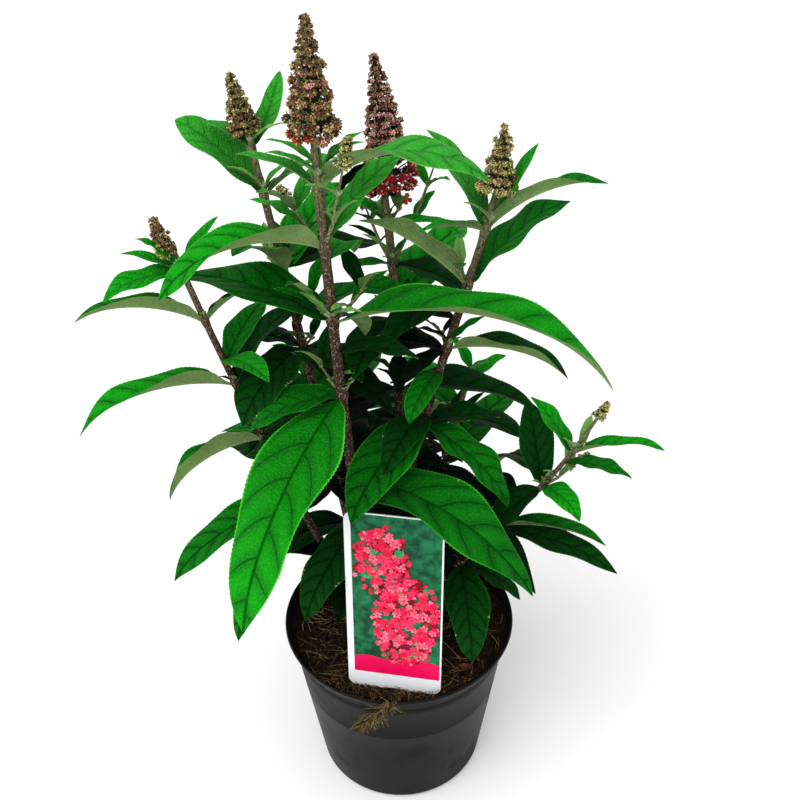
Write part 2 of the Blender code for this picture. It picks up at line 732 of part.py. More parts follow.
def pot_inside():
    """(radius, height) pairs down the inside, from the lip to the floor."""
    return [
        (RIM_RADIUS - POT_WALL, POT_HEIGHT),
        (BODY_RADIUS + BAND_STEP - POT_WALL, BAND_FOOT + 0.0020),
        (BODY_RADIUS - BAND_STEP - POT_WALL, BAND_FOOT - 0.0010),
        (BASE_RADIUS - POT_WALL, BASE_CORNER + 0.002),
        (BASE_RADIUS - BASE_CORNER, FLOOR),
    ]


def make_pot(made):
    profile = [(0, 0.0)] + pot_outside() + pot_inside() + [(0, FLOOR)]
    outward(mesh_object("pot", ring_solid(profile, POT_SIDES), made))


def label_frame():
    """Across, up and facing directions of the label."""
    yaw, lean = math.radians(LABEL_YAW), math.radians(LABEL_LEAN)
    across = np.array([math.cos(yaw), math.sin(yaw), 0.0])
    facing = np.array([math.sin(yaw), -math.cos(yaw), 0.0])
    up = np.array([0, 0, math.cos(lean)]) - facing * math.sin(lean)
    return across, up, np.cross(across, up)


def label_solid(grow=0.0):
    """A card with rounded corners and a pointed stake. Where it grows, the stake's slot alone."""
    wide, tall = LABEL_SIZE
    stake_wide, stake_deep = STAKE_SIZE
    half_stake, shoulder = stake_wide / 2 + grow, -stake_deep + stake_wide / 2
    top = STAKE_HEAD if grow else 0.0
    outline = [(-half_stake, top), (-half_stake, shoulder), (0, -stake_deep - grow)]
    outline += [(half_stake, shoulder), (half_stake, top)]
    if not grow:
        corners = (
            (wide / 2 - LABEL_CORNER, LABEL_CORNER, -90),
            (wide / 2 - LABEL_CORNER, tall - LABEL_CORNER, 0),
            (-wide / 2 + LABEL_CORNER, tall - LABEL_CORNER, 90),
            (-wide / 2 + LABEL_CORNER, LABEL_CORNER, 180),
        )
        for x, y, start in corners:
            for step in range(5):
                turn = math.radians(start + 22.5 * step)
                outline.append((x + LABEL_CORNER * math.cos(turn), y + LABEL_CORNER * math.sin(turn)))
    across, up, away = label_frame()
    foot = np.array([*LABEL_FOOT, SOIL_TOP + SOIL_LUMP + LABEL_LIFT])
    half = LABEL_THICK / 2 + grow
    points = [foot + across * x + up * y + away * half * end for end in (-1, 1) for x, y in outline]
    count = len(outline)
    faces = [tuple(range(count)), tuple(reversed(range(count, 2 * count)))]
    faces += [(i, i + count, (i + 1) % count + count, (i + 1) % count) for i in range(count)]
    return points, faces


def make_label(made):
    outward(mesh_object("label", label_solid(), made))


def make_soil(made):
    """The filling of the pot, lumpy on top outside its level middle, slotted for the stake."""
    dice = random.Random(SEED + 1)
    inside = [(radius - CLEAR, height) for radius, height in pot_inside()]
    scale = (SOIL_TOP - inside[2][1]) / (inside[0][1] - inside[2][1])
    edge = inside[2][0] + (inside[0][0] - inside[2][0]) * scale - 0.0012
    profile = [
        (0, FLOOR + CLEAR),
        (inside[4][0], FLOOR + CLEAR),
        (inside[3][0], inside[3][1]),
        (inside[2][0] - 0.0006, inside[2][1] - 0.002),
        (edge, SOIL_TOP - 0.002),
    ]
    profile += [(radius, SOIL_TOP) for radius in reversed(SOIL_RINGS)] + [(0, SOIL_TOP)]
    points, faces = ring_solid(profile, POT_SIDES)
    first = 1 + POT_SIDES * 4
    lumpy = []
    for i, (x, y, z) in enumerate(points):
        ring = (i - first) // POT_SIDES
        lift = dice.uniform(-SOIL_LUMP, SOIL_LUMP) if i >= first and ring < 2 else 0
        lumpy.append((x, y, z + lift))
    soil = outward(mesh_object("soil", (lumpy, faces), made))
    apply_boolean(soil, "DIFFERENCE", [label_solid(CLEAR)], made)


def make_stool(made):
    """The short woody foot that the canes rise from, cut level at soil and top."""
    x0, y0 = STOOL_CENTRE
    foot = SOIL_TOP + CLEAR
    rings = ((1.0, foot), (0.96, foot + 0.007), (0.86, STOOL_TOP - 0.004), (0.78, STOOL_TOP))
    wide, deep = STOOL_RADII
    sides, points, faces = STOOL_SIDES, [], []
    for size, z in rings:
        for j in range(sides):
            turn = math.tau * j / sides
            bump = size * (1 + 0.05 * math.cos(5 * turn + 1) + 0.03 * math.cos(8 * turn))
            points.append((x0 + wide * bump * math.cos(turn), y0 + deep * bump * math.sin(turn), z))
    for i in range(len(rings) - 1):
        for j in range(sides):
            a, b = sides * i + j, sides * i + (j + 1) % sides
            faces.append((a, b, b + sides, a + sides))
    faces += [tuple(reversed(range(sides))), tuple(range(len(points) - sides, len(points)))]
    outward(mesh_object("stool", (points, faces), made))


def make_bough(name, cane, made):
    """The bare foot of a cane, up to where its leaves begin."""
    solid = limb_between(cane, 0.0, cane["bare"], BOUGH_SIDES, 0.012, level_foot=True)
    outward(mesh_object(name + "_bough", solid, made))


def mass_spans(name, cane):
    """The stretch of cane inside each mass, clear of the piece below."""
    if cane["split"] is None:
        return {name + "_foliage": (cane["bare"] + CLEAR, cane["length"])}
    return {
        name + "_lower_foliage": (cane["bare"] + CLEAR, cane["split"]),
        name + "_upper_foliage": (cane["split"] + CLEAR, cane["length"]),
    }


def make_mass(name, cane, span, grown, made):
    """Stem, shoots, leaves and spikes fused to one body."""
    stem = outward(mesh_object(name, limb_between(cane, *span, CANE_SIDES, 0.05), made))
    solids = grown["stems"] + [leaf_solid(leaf) for leaf in grown["leaves"]]
    for foot, way, length, radius in grown["spikes"]:
        form = YOUNG_FORM if length <= YOUNG_SPIKE else SPIKE_FORM
        solids.append(spike_solid(foot, way, length, radius, *form))
    if not apply_boolean(stem, "UNION", solids, made):
        print(name, "isn't one sound body")


def standing_pieces(canes):
    """The room taken up by what the foliage grows round."""
    room = Room()
    room.add_fixed(None, label_solid())
    pot = [(0, 0.0)] + pot_outside() + pot_inside()[:1] + [(0, SOIL_TOP + 0.002)]
    room.add_fixed(None, ring_solid(pot, POT_SIDES))
    for name, cane in canes.items():
        room.add_fixed(name + "_bough", limb_between(cane, 0.0, cane["bare"], CANE_SIDES, 0.02))
        for mass, span in mass_spans(name, cane).items():
            room.add_fixed(mass, limb_between(cane, *span, CANE_SIDES, 0.03))
    return room


def build():
    for obj in list(bpy.data.objects):
        bpy.data.objects.remove(obj, do_unlink=True)
    make_pot(material("black_plastic", (0.018, 0.020, 0.023), 0.5))
    make_soil(material("compost", (0.040, 0.022, 0.012), 0.95))
    make_stool(material("old_wood", (0.13, 0.085, 0.055), 0.85))
    make_label(material("label_plastic", (0.75, 0.10, 0.22), 0.35))
    bark = material("cane_bark", (0.16, 0.11, 0.08), 0.75)
    green = material("foliage", (0.035, 0.17, 0.025), 0.55)
    canes = grow_canes()
    masses = grow_plant(canes, standing_pieces(canes))
    for name, cane in canes.items():
        make_bough(name, cane, bark)
        for mass, span in mass_spans(name, cane).items():
            make_mass(mass, cane, span, masses[mass], green)


if __name__ == "__main__":
    build()
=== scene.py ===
import math
import random

import bpy
import numpy as np
from mathutils import Matrix, Vector, noise
from mathutils.bvhtree import BVHTree


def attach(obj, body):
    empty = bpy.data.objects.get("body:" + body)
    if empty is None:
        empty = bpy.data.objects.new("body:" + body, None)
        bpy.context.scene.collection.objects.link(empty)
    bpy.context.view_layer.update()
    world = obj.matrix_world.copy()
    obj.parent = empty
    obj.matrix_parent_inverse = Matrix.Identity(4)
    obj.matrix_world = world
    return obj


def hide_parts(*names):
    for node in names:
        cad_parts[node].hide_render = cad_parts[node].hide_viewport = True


# A butterfly bush in its nursery pot. Metres, Z up, origin under the middle of the pot.
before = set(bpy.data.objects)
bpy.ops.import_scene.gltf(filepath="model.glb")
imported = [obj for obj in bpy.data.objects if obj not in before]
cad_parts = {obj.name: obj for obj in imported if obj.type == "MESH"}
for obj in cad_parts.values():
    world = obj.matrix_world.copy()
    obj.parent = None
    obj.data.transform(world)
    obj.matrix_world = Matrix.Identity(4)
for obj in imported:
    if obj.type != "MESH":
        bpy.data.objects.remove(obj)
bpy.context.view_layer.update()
bpy.ops.object.select_all(action="DESELECT")
bpy.context.scene.view_settings.view_transform = "Standard"
print("frame loaded")


# camera, light and floor
view = {
    "place": (0.004, -0.572, 0.722),
    "pitch": 32.3,  # degrees down
    "roll": -1.0,
    "lens": 42.3,
    "sensor": 36,
    "nearest": 0.02,
}
light = {
    "sky": 0.72,
    "key": (2.45, 70, (-0.55, -0.80, 1.25)),  # strength, softness in degrees, where it stands
    "fill": ((1.5, -0.9, 1.1), 1.4, 2.5),  # place, size, watts
    "aim": (0.0, 0.0, 0.32),
    "floor": {"colour": (0.93, 0.93, 0.93), "size": 30, "height": -0.0002},
}


def addCamera():
    pitch, roll = math.radians(view["pitch"]), math.radians(view["roll"])
    forward = Vector((0, math.cos(pitch), -math.sin(pitch)))
    level, steep = Vector((1, 0, 0)), Vector((0, math.sin(pitch), math.cos(pitch)))
    right = level * math.cos(roll) + steep * math.sin(roll)
    up = steep * math.cos(roll) - level * math.sin(roll)
    bpy.ops.object.camera_add()
    camera = bpy.context.object
    turned = Matrix((right, up, -forward)).transposed().to_4x4()
    camera.matrix_world = Matrix.Translation(view["place"]) @ turned
    camera.data.lens = view["lens"]
    camera.data.sensor_width = view["sensor"]
    camera.data.clip_start = view["nearest"]
    bpy.context.scene.camera = camera


def aimed(place):
    return (Vector(light["aim"]) - Vector(place)).to_track_quat("-Z", "Y").to_euler()


def addLights():
    strength, softness, place = light["key"]
    bpy.ops.object.light_add(type="SUN", location=place, rotation=aimed(place))
    key = bpy.context.object
    key.name = "keyLight"
    key.data.energy = strength
    key.data.angle = math.radians(softness)
    place, size, watts = light["fill"]
    bpy.ops.object.light_add(type="AREA", location=place, rotation=aimed(place))
    fill = bpy.context.object
    fill.name = "fillLight"
    fill.data.size = size
    fill.data.energy = watts


def newFinish(name, roughness, specular):
    made = bpy.data.materials.new(name)
    made.use_nodes = True
    shader = made.node_tree.nodes["Principled BSDF"]
    shader.inputs["Roughness"].default_value = roughness
    shader.inputs["Specular IOR Level"].default_value = specular
    return made, made.node_tree, shader


def addStudio():
    world = bpy.data.worlds.new("studioSky")
    bpy.context.scene.world = world
    world.use_nodes = True
    sky = world.node_tree.nodes["Background"]
    sky.inputs["Color"].default_value = (1, 1, 1, 1)
    sky.inputs["Strength"].default_value = light["sky"]
    addLights()
    bpy.ops.mesh.primitive_plane_add(
        size=light["floor"]["size"], location=(0, 0, light["floor"]["height"])
    )
    floor = bpy.context.object
    floor.name = "studioFloor"
    made, _, shader = newFinish("paleFloor", 0.9, 0.1)
    shader.inputs["Base Color"].default_value = (*light["floor"]["colour"], 1)
    floor.data.materials.append(made)


addCamera()
addStudio()
print("camera and light ready")


# node helpers for the finishes
def put(tree, socket, value):
    if isinstance(value, bpy.types.NodeSocket):
        tree.links.new(value, socket)
    elif isinstance(value, tuple) and len(value) == 3 and len(socket.default_value) == 4:
        socket.default_value = (*value, 1)
    else:
        socket.default_value = value


def newNode(tree, kind, inputs, **settings):
    node = tree.nodes.new("ShaderNode" + kind)
    for name, value in settings.items():
        setattr(node, name, value)
    for key, value in inputs.items():
        put(tree, node.inputs[key], value)
    return node


def calc(tree, operation, *values):
    return newNode(tree, "Math", dict(enumerate(values)), operation=operation).outputs[0]


def times(tree, one, other):
    return calc(tree, "MULTIPLY", one, other)


def ease(tree, value, low, high, first=0.0, last=1.0):
    inputs = {"Value": value, "From Min": low, "From Max": high, "To Min": first, "To Max": last}
    return newNode(tree, "MapRange", inputs, interpolation_type="SMOOTHSTEP").outputs[0]


def mixed(tree, share, one, other):
    return newNode(tree, "Mix", {0: share, 6: one, 7: other}, data_type="RGBA").outputs[2]


def attribute(tree, name):
    found = newNode(tree, "Attribute", {}, attribute_name=name).outputs["Vector"]
    return found, newNode(tree, "SeparateXYZ", {0: found}).outputs


def objectPlace(tree):
    return tree.nodes.new("ShaderNodeTexCoord").outputs["Object"]


def stretched(tree, place, scale):
    return newNode(tree, "Mapping", {"Vector": place, "Scale": scale}).outputs[0]


def cloudy(tree, place, scale, detail=3.0, roughness=0.6):
    inputs = {"Vector": place, "Scale": scale, "Detail": detail, "Roughness": roughness}
    return newNode(tree, "TexNoise", inputs).outputs["Fac"]


def cells(tree, place, scale, feature="F1"):
    inputs = {"Vector": place, "Scale": scale}
    return newNode(tree, "TexVoronoi", inputs, feature=feature).outputs["Distance"]


def relief(tree, shader, height, depth, strength=1.0):
    inputs = {"Strength": strength, "Distance": depth, "Height": height}
    tree.links.new(newNode(tree, "Bump", inputs).outputs[0], shader.inputs["Normal"])


# finishes of leaves, bark and buds
# leafSun, leafMid, leafShade, leafDeep and leafUnderShade are lighter and darker copies of one leaf colour:
# painted light and shade, dealt out by how much open sky each leaf sees
leafFinishes = {
    # name: blade, veins, margin, how much veins show, roughness, gloss
    "leafFreshLit": ((0.030, 0.400, 0.018), (0.006, 0.165, 0.008), (0.170, 0.640, 0.090), 0.65, 0.50, 0.12),
    "leafSun": ((0.003, 0.370, 0.004), (0.001, 0.085, 0.003), (0.075, 0.600, 0.032), 0.68, 0.55, 0.06),
    "leafMid": ((0.002, 0.195, 0.004), (0.001, 0.044, 0.003), (0.034, 0.400, 0.018), 0.68, 0.55, 0.05),
    "leafShade": ((0.001, 0.056, 0.003), (0.001, 0.013, 0.002), (0.008, 0.125, 0.006), 0.68, 0.60, 0.04),
    "leafDeep": ((0.001, 0.014, 0.002), (0.001, 0.004, 0.001), (0.003, 0.032, 0.003), 0.70, 0.60, 0.03),
    "leafUnder": ((0.110, 0.235, 0.052), (0.260, 0.350, 0.150), (0.170, 0.320, 0.085), 0.60, 0.80, 0.05),
    "leafUnderShade": ((0.052, 0.105, 0.028), (0.115, 0.165, 0.065), (0.07, 0.14, 0.04), 0.60, 0.80, 0.05),
    "leafYoung": ((0.150, 0.380, 0.075), (0.200, 0.420, 0.110), (0.240, 0.470, 0.120), 0.50, 0.65, 0.08),
}
net = {
    "coarse": 540,  # meshes to the metre
    "fine": 1050,
    "thin": (0.0002, 0.0010),  # half the width of a side vein, sharp and faded
    "rib": (0.0002, 0.0012),
    "bold": (0.006, 0.021),  # vein spacing of the smallest and the largest leaves
    "shadow": (0.42, 0.62),  # painted shade along the veins: how far from a vein the blade darkens, and how much
    "patches": 60,
    # painted highlight on the raised middles of the quilted blade
    "litCrests": 0.13,
    "footShade": 0.36,  # how much of its colour the foot of the blade keeps under its painted shade
    "edge": (0.93, 0.85),
    "depth": 0.0012,
}


def leafFinish(name, blade, vein, margin, strength, roughness, gloss):
    made, tree, shader = newFinish(name, roughness, gloss)
    felted = name in ("leafUnder", "leafUnderShade")
    place, spot = attribute(tree, "leafPlace")  # along, across, share of the half width
    _, facts = attribute(tree, "leafFacts")  # side vein count, painted light along the blade (darkest at its foot), vein spacing
    turn = calc(tree, "SUBTRACT", calc(tree, "FRACT", calc(tree, "ADD", facts[0], 0.5)), 0.5)
    turn = calc(tree, "ABSOLUTE", turn)
    side = ease(tree, times(tree, turn, facts[2]), *net["thin"], 1.0, 0.0)
    side = times(tree, side, ease(tree, spot[2], 0.60, 1.0, 1.0, 0.30))
    rib = ease(tree, calc(tree, "ABSOLUTE", spot[1]), *net["rib"], 1.0, 0.0)
    bold = ease(tree, facts[2], *net["bold"], 0.40, 1.0)
    lines = times(tree, calc(tree, "MAXIMUM", side, rib), bold)
    # a soft dark band along each side vein, painted shade in the crease
    reach, darkest = net["shadow"]
    soft = times(tree, ease(tree, turn, 0.0, reach, darkest, 0.0), bold)
    flat = stretched(tree, place, (1, 1, 0))
    coarse, fine = (cells(tree, flat, net[size]) for size in ("coarse", "fine"))
    meshes = ease(tree, cells(tree, flat, net["coarse"], "DISTANCE_TO_EDGE"), 0.0, 0.20, 1.0, 0.0)
    threads = ease(tree, cells(tree, flat, net["fine"], "DISTANCE_TO_EDGE"), 0.0, 0.24, 1.0, 0.0)
    patches = ease(tree, cloudy(tree, objectPlace(tree), net["patches"]), 0.35, 0.72, 0.0, 0.50)
    body = mixed(tree, ease(tree, facts[1], 0.0, 1.0), tuple(net["footShade"] * c for c in blade), blade)
    body = mixed(tree, patches, body, tuple(0.60 * c + 0.40 * v for c, v in zip(blade, vein)))
    body = mixed(tree, times(tree, soft, 0.15 if felted else 0.85), body, vein)
    # the raised middles of the quilting lean to the margin colour, a painted highlight
    body = mixed(tree, ease(tree, coarse, 0.12, 0.55, net["litCrests"], 0.0), body, margin)
    for mark, share in ((meshes, 0.45), (threads, 0.35), (lines, 1.0)):
        body = mixed(tree, times(tree, mark, share * strength), body, vein)
    edge, pale = net["edge"]
    body = mixed(tree, ease(tree, spot[2], edge, 1.0, 0.0, pale), body, margin)
    tree.links.new(body, shader.inputs["Base Color"])
    bulge = calc(tree, "ADD", coarse, times(tree, fine, 0.4))
    sunk = times(tree, lines, 1.0 if felted else -1.0)
    height = calc(tree, "ADD", sunk, times(tree, bulge, 0.4 if felted else -0.7))
    relief(tree, shader, height, net["depth"], 0.85)
    return made


barkLook = {
    "tones": ((0.056, 0.028, 0.022), (0.210, 0.215, 0.095), (0.016, 0.008, 0.006), (0.35, 0.27, 0.19)),
    "grain": (170, 900, 1),  # turns of each pattern to the metre, along and around
    "pits": (400, 640, 1),
    "pitted": (55, 260, 1),
    "flecks": (470, 640, 1),
    "depth": 0.0005,
}


def barkFinish(name):
    old, young, dark, pale = barkLook["tones"]
    made, tree, shader = newFinish(name, 0.80, 0.10)
    place, _ = attribute(tree, "limbPlace")  # along and around
    _, facts = attribute(tree, "limbFacts")  # youth
    grain = cloudy(tree, stretched(tree, place, barkLook["grain"]), 1.0, 4.0)
    body = mixed(tree, facts[0], old, young)
    body = mixed(tree, ease(tree, grain, 0.45, 0.66, 0.0, 0.75), body, dark)
    pits = ease(tree, cells(tree, stretched(tree, place, barkLook["pits"]), 1.0), 0.20, 0.42, 1.0, 0.0)
    pitted = ease(tree, cloudy(tree, stretched(tree, place, barkLook["pitted"]), 1.0, 2.0), 0.40, 0.54)
    body = mixed(tree, times(tree, pits, times(tree, pitted, 0.9)), body, dark)
    flecks = cells(tree, stretched(tree, place, barkLook["flecks"]), 1.0)
    body = mixed(tree, ease(tree, flecks, 0.14, 0.42, 0.78, 0.0), body, pale)
    tree.links.new(body, shader.inputs["Base Color"])
    relief(tree, shader, calc(tree, "SUBTRACT", grain, times(tree, pits, 0.6)), barkLook["depth"], 0.8)
    return made


def budFinish(name, colour, deep, roughness=0.6):
    made, tree, shader = newFinish(name, roughness, 0.2)
    place = objectPlace(tree)
    patch = ease(tree, cloudy(tree, place, 260), 0.35, 0.65)
    streak = ease(tree, cloudy(tree, place, 900), 0.4, 0.6, 0.0, 0.5)
    body = mixed(tree, patch, colour, deep)
    body = mixed(tree, streak, body, tuple(0.6 * c for c in colour))
    tree.links.new(body, shader.inputs["Base Color"])
    relief(tree, shader, cloudy(tree, place, 1500, 2.0), 0.0003, 0.6)
    return made


finishes = {name: leafFinish(name, *row) for name, row in leafFinishes.items()}
finishes["bark"] = barkFinish("bark")
budColours = {
    "budDark": ((0.034, 0.020, 0.012), (0.016, 0.010, 0.006)),
    "budStem": ((0.160, 0.160, 0.070), (0.075, 0.075, 0.033)),
    "budOlive": ((0.200, 0.210, 0.048), (0.098, 0.106, 0.023)),
    "budBrown": ((0.220, 0.108, 0.046), (0.095, 0.044, 0.020)),
    "budKhaki": ((0.620, 0.480, 0.185), (0.330, 0.245, 0.085)),
    "budMauve": ((0.440, 0.185, 0.120), (0.160, 0.058, 0.042)),
    "budMaroon": ((0.050, 0.010, 0.014), (0.018, 0.005, 0.007)),
    "budPink": ((0.860, 0.470, 0.400), (0.420, 0.140, 0.130)),
    "budOrange": ((0.520, 0.075, 0.020), (0.280, 0.022, 0.012)),
    "budCrimson": ((0.560, 0.010, 0.030), (0.230, 0.005, 0.014)),
    "budYellow": ((0.720, 0.660, 0.215), (0.400, 0.375, 0.115)),
    "budFelt": ((0.360, 0.420, 0.240), (0.220, 0.290, 0.140)),
    "petalRed": ((0.780, 0.004, 0.020), (0.560, 0.002, 0.012)),
}
for budName, (budColour, budDeep) in budColours.items():
    finishes[budName] = budFinish(budName, budColour, budDeep)
print("plant finishes ready:", len(finishes))


# the growth rule
growth = {
    "seed": 11,
    "clear": 0.0003,
    "margin": 0.0003,
    "stoolTop": 0.158,
    "stemSteps": 24,
    "collar": 0.006,
    "collarSwell": 0.30,
    "sameSide": 55,
}
# of a plain leaf: "sizes" gives its length up a cane, "rise" and "droop" each a start, a gain and chance
leafGrowth = {
    "width": 0.34,
    "outline": (0.7, 1.1),
    "fold": 16,
    "droopBend": 1.2,
    "root": 0.10,
    "stalk": 0.0012,
    "stalkPerLength": 0.018,
    "thick": 0.0006,
    "lengthPerThick": 180,
    "sizes": (0.62, 1.5, -1.85),
    "chance": (0.88, 1.08),
    "heading": 10,
    "rise": (8, 38, 6),
    "droop": (58, -22, 8),
}
# of a side shoot; "lengths" are its own and its leaves', "leaves" a place along it, a turn and a size
twig = {
    "radii": (0.0014, 0.0009),
    "root": 0.006,
    "long": 0.02,
    "lengths": (0.012, 0.030),
    "chance": (0.8, 1.2),
    "heading": 25,
    "lean": (38, 8),
    "bend": (8, -12),
    "leaves": ((1.0, 90, 1.0), (1.0, -90, 0.9), (0.55, 20, 0.9), (0.55, 200, 0.6)),
    "leafRise": (48, 10),
    "leafDroop": 30,
    "leafWidth": 0.30,
    "bud": 0.0021,
    "spikeForm": (6, 7),
    "youngForm": (2, 5),
}
# lengths along a cane are from its foot, turns are in degrees, and leans are at foot, middle and top
canes = {
    "middle": dict(
        foot=(-0.022, -0.006), heading=225, turn=42, leans=(6, 7, 9), length=0.405,
        girth=(0.0044, 0.0029), nodes=(0.060, 0.100, 0.148, 0.226, 0.286, 0.341, 0.380),
        spike=(0.074, 0.014), leaf=0.150, first=75, bare=0.042, split=0.256, shoots=0.5,
    ),
    "leftmid": dict(
        foot=(-0.027, 0.010), heading=168, turn=-8, leans=(8, 10, 10), length=0.390,
        girth=(0.0036, 0.0024), nodes=(0.060, 0.120, 0.180, 0.240, 0.298, 0.352, 0.384),
        spike=(0.042, 0.009), leaf=0.135, first=70, bare=0.042, split=0.210, shoots=0.5,
    ),
    "back": dict(
        foot=(-0.005, 0.020), heading=38, turn=96, leans=(9, 4, 11), length=0.338,
        girth=(0.0040, 0.0028), nodes=(0.060, 0.120, 0.192, 0.250, 0.290, 0.320),
        spike=(0.096, 0.017), leaf=0.160, first=95, bare=0.042, split=0.220, shoots=0.5,
    ),
    "right": dict(
        foot=(-0.003, 0.002), heading=12, turn=0, leans=(-3, 15, 14), length=0.352,
        girth=(0.0040, 0.0026), nodes=(0.060, 0.120, 0.180, 0.243, 0.292, 0.333),
        spike=(0.050, 0.010), leaf=0.150, first=20, bare=0.042, split=0.212, shoots=0.5,
    ),
    "farleft": dict(
        foot=(-0.032, 0.000), heading=186, turn=12, leans=(22, 18, 14), length=0.350,
        girth=(0.0034, 0.0020), nodes=(0.060, 0.125, 0.190, 0.240, 0.293, 0.330),
        spike=(0.024, 0.006), leaf=0.110, first=150, bare=0.045, split=0.214, shoots=0.9,
    ),
    "lowright": dict(
        foot=(0.010, -0.008), heading=-8, turn=-6, leans=(31, 36, 24), length=0.232,
        girth=(0.0028, 0.0016), nodes=(0.070, 0.124, 0.172, 0.210),
        spike=(0.018, 0.004), leaf=0.085, first=60, bare=0.050, split=None, shoots=0.9,
    ),
    "backleft": dict(
        foot=(-0.024, 0.024), heading=125, turn=0, leans=(20, 22, 16), length=0.190,
        girth=(0.0030, 0.0020), nodes=(0.060, 0.110, 0.150, 0.180),
        spike=None, leaf=0.150, first=60, bare=0.042, split=None, shoots=0.5,
    ),
    "backright": dict(
        foot=(0.008, 0.020), heading=56, turn=0, leans=(28, 32, 26), length=0.190,
        girth=(0.0030, 0.0020), nodes=(0.060, 0.108, 0.148, 0.180),
        spike=None, leaf=0.128, first=128, bare=0.042, split=None, shoots=0.5,
    ),
}
# cane, place along it, heading, length, rise, droop, width to length, and roll and sweep where it has them
shownLeaves = (
    ("middle", 0.226, 243, 0.178, -12, 50, 0.33, -6),
    ("middle", 0.286, 343, 0.188, 23, 62, 0.28),
    ("middle", 0.148, 324, 0.166, 16, 62, 0.34),
    ("middle", 0.286, 163, 0.112, 22, 36, 0.44),
    ("middle", 0.341, 200, 0.112, 24, 72, 0.36, 15),
    ("middle", 0.341, 15, 0.072, 62, 30, 0.40, -20),
    ("middle", 0.380, 335, 0.112, 45, 85, 0.30, 0, 25),
    ("middle", 0.380, 185, 0.052, 45, 38, 0.34),
    ("middle", 0.226, 200, 0.068, 8, 38, 0.46),
    ("middle", 0.100, 235, 0.086, -10, 48, 0.40),
    ("middle", 0.060, 256, 0.062, 5, 40, 0.36),
    ("leftmid", 0.352, 176, 0.076, 56, 24, 0.46, 25),
    ("leftmid", 0.384, 178, 0.036, 58, 30, 0.50),
    ("leftmid", 0.384, 45, 0.050, 50, -25, 0.44, -30),
    ("leftmid", 0.240, 190, 0.058, 30, 30, 0.46),
    ("leftmid", 0.240, 236, 0.080, -4, 50, 0.52),
    ("leftmid", 0.240, 308, 0.066, 20, 48, 0.46),
    ("leftmid", 0.180, 222, 0.085, 10, 40, 0.42),
    ("right", 0.292, 169, 0.088, 45, 30, 0.34),
    ("back", 0.320, 350, 0.058, 15, 50, 0.24),
    ("back", 0.290, 335, 0.066, 16, 36, 0.46),
    ("back", 0.290, 225, 0.045, 26, 26, 0.40),
    ("back", 0.250, 242, 0.080, 12, 36, 0.44),
    ("back", 0.192, 215, 0.070, 10, 40, 0.50),
    ("back", 0.192, 352, 0.112, 16, 40, 0.40),
    ("back", 0.120, 336, 0.112, 0, 44, 0.36),
    ("right", 0.333, 356, 0.088, 47, 52, 0.30),
    ("right", 0.333, 152, 0.077, 68, 25, 0.32),
    ("right", 0.333, 205, 0.052, 25, 35, 0.34),
    ("right", 0.345, 10, 0.054, 40, -20, 0.32),
    ("right", 0.292, 8, 0.093, 55, 30, 0.34),
    ("right", 0.243, 343, 0.092, 18, 54, 0.36),
    ("right", 0.243, 200, 0.044, -18, 30, 0.45),
    ("right", 0.180, 230, 0.104, 6, 50, 0.44),
    ("right", 0.180, 355, 0.058, 22, 28, 0.46),
    ("right", 0.180, 325, 0.092, -10, 44, 0.34),
    ("farleft", 0.330, 186, 0.041, 38, 28, 0.34),
    ("farleft", 0.330, 36, 0.043, 58, 20, 0.34),
    ("farleft", 0.330, 215, 0.056, 16, 40, 0.42, 10),
    ("farleft", 0.293, 195, 0.086, 33, 52, 0.28),
    ("farleft", 0.293, 20, 0.034, 45, 30, 0.34),
    ("farleft", 0.240, 204, 0.116, 21, 56, 0.30),
    ("farleft", 0.190, 211, 0.084, 11, 62, 0.36),
    ("farleft", 0.125, 211, 0.113, 8, 52, 0.34),
    ("farleft", 0.125, 242, 0.118, -10, 58, 0.32),
    ("lowright", 0.210, 350, 0.066, 28, 42, 0.26),
    ("lowright", 0.210, 140, 0.050, 55, 25, 0.34),
    ("lowright", 0.200, 335, 0.050, 18, 36, 0.32),
    ("lowright", 0.172, 104, 0.064, 66, 22, 0.42),
    ("lowright", 0.172, 300, 0.047, 28, 65, 0.45),
    ("lowright", 0.124, 343, 0.080, 17, 42, 0.30),
    ("lowright", 0.119, 337, 0.096, 9, 40, 0.30),
    ("lowright", 0.070, 277, 0.080, -12, 60, 0.42),
    ("lowright", 0.070, 335, 0.058, 5, 55, 0.34),
)
# cane, place along it, heading, lean, length, leaf length, young spike
shownShoots = (
    ("middle", 0.341, 310, 24, 0.042, 0.026, (0.024, 0.0045)),
    ("middle", 0.341, 150, 45, 0.028, 0.044, (0.012, 0.0035)),
    ("middle", 0.286, 156, 44, 0.022, 0.036, None),
    ("middle", 0.286, 25, 50, 0.028, 0.040, None),
    ("middle", 0.226, 147, 43, 0.024, 0.036, None),
    ("back", 0.290, 31, 30, 0.060, 0.034, (0.022, 0.0045)),
    ("back", 0.290, 145, 32, 0.034, 0.028, (0.012, 0.0035)),
    ("lowright", 0.172, 345, 55, 0.026, 0.026, (0.012, 0.0035)),
)
# fold at base and tip, then roll at base and tip, of leaves that show their undersides
leafTurns = {
    ("farleft", 0.293, 195): (56, 34, -26, -8),
    ("farleft", 0.240, 204): (48, 22, -26, 0),
    ("farleft", 0.190, 211): (60, 45, -34, -26),
    ("farleft", 0.293, 20): (50, 40, 20, 10),
    ("middle", 0.341, 200): (46, 12, -50, 12),
    ("middle", 0.380, 335): (44, -8, 30, -26),
    ("middle", 0.286, 343): (26, 30, 4, 14),
    ("right", 0.333, 356): (60, 20, 50, -6),
    ("right", 0.292, 169): (50, 40, -46, -34),
    ("right", 0.333, 205): (34, 24, -18, -10),
    ("right", 0.243, 343): (40, 30, 22, 12),
    ("back", 0.192, 352): (30, 22, 8, 6),
    ("lowright", 0.124, 343): (40, 30, 18, 10),
    ("lowright", 0.210, 350): (36, 20, 20, 0),
}
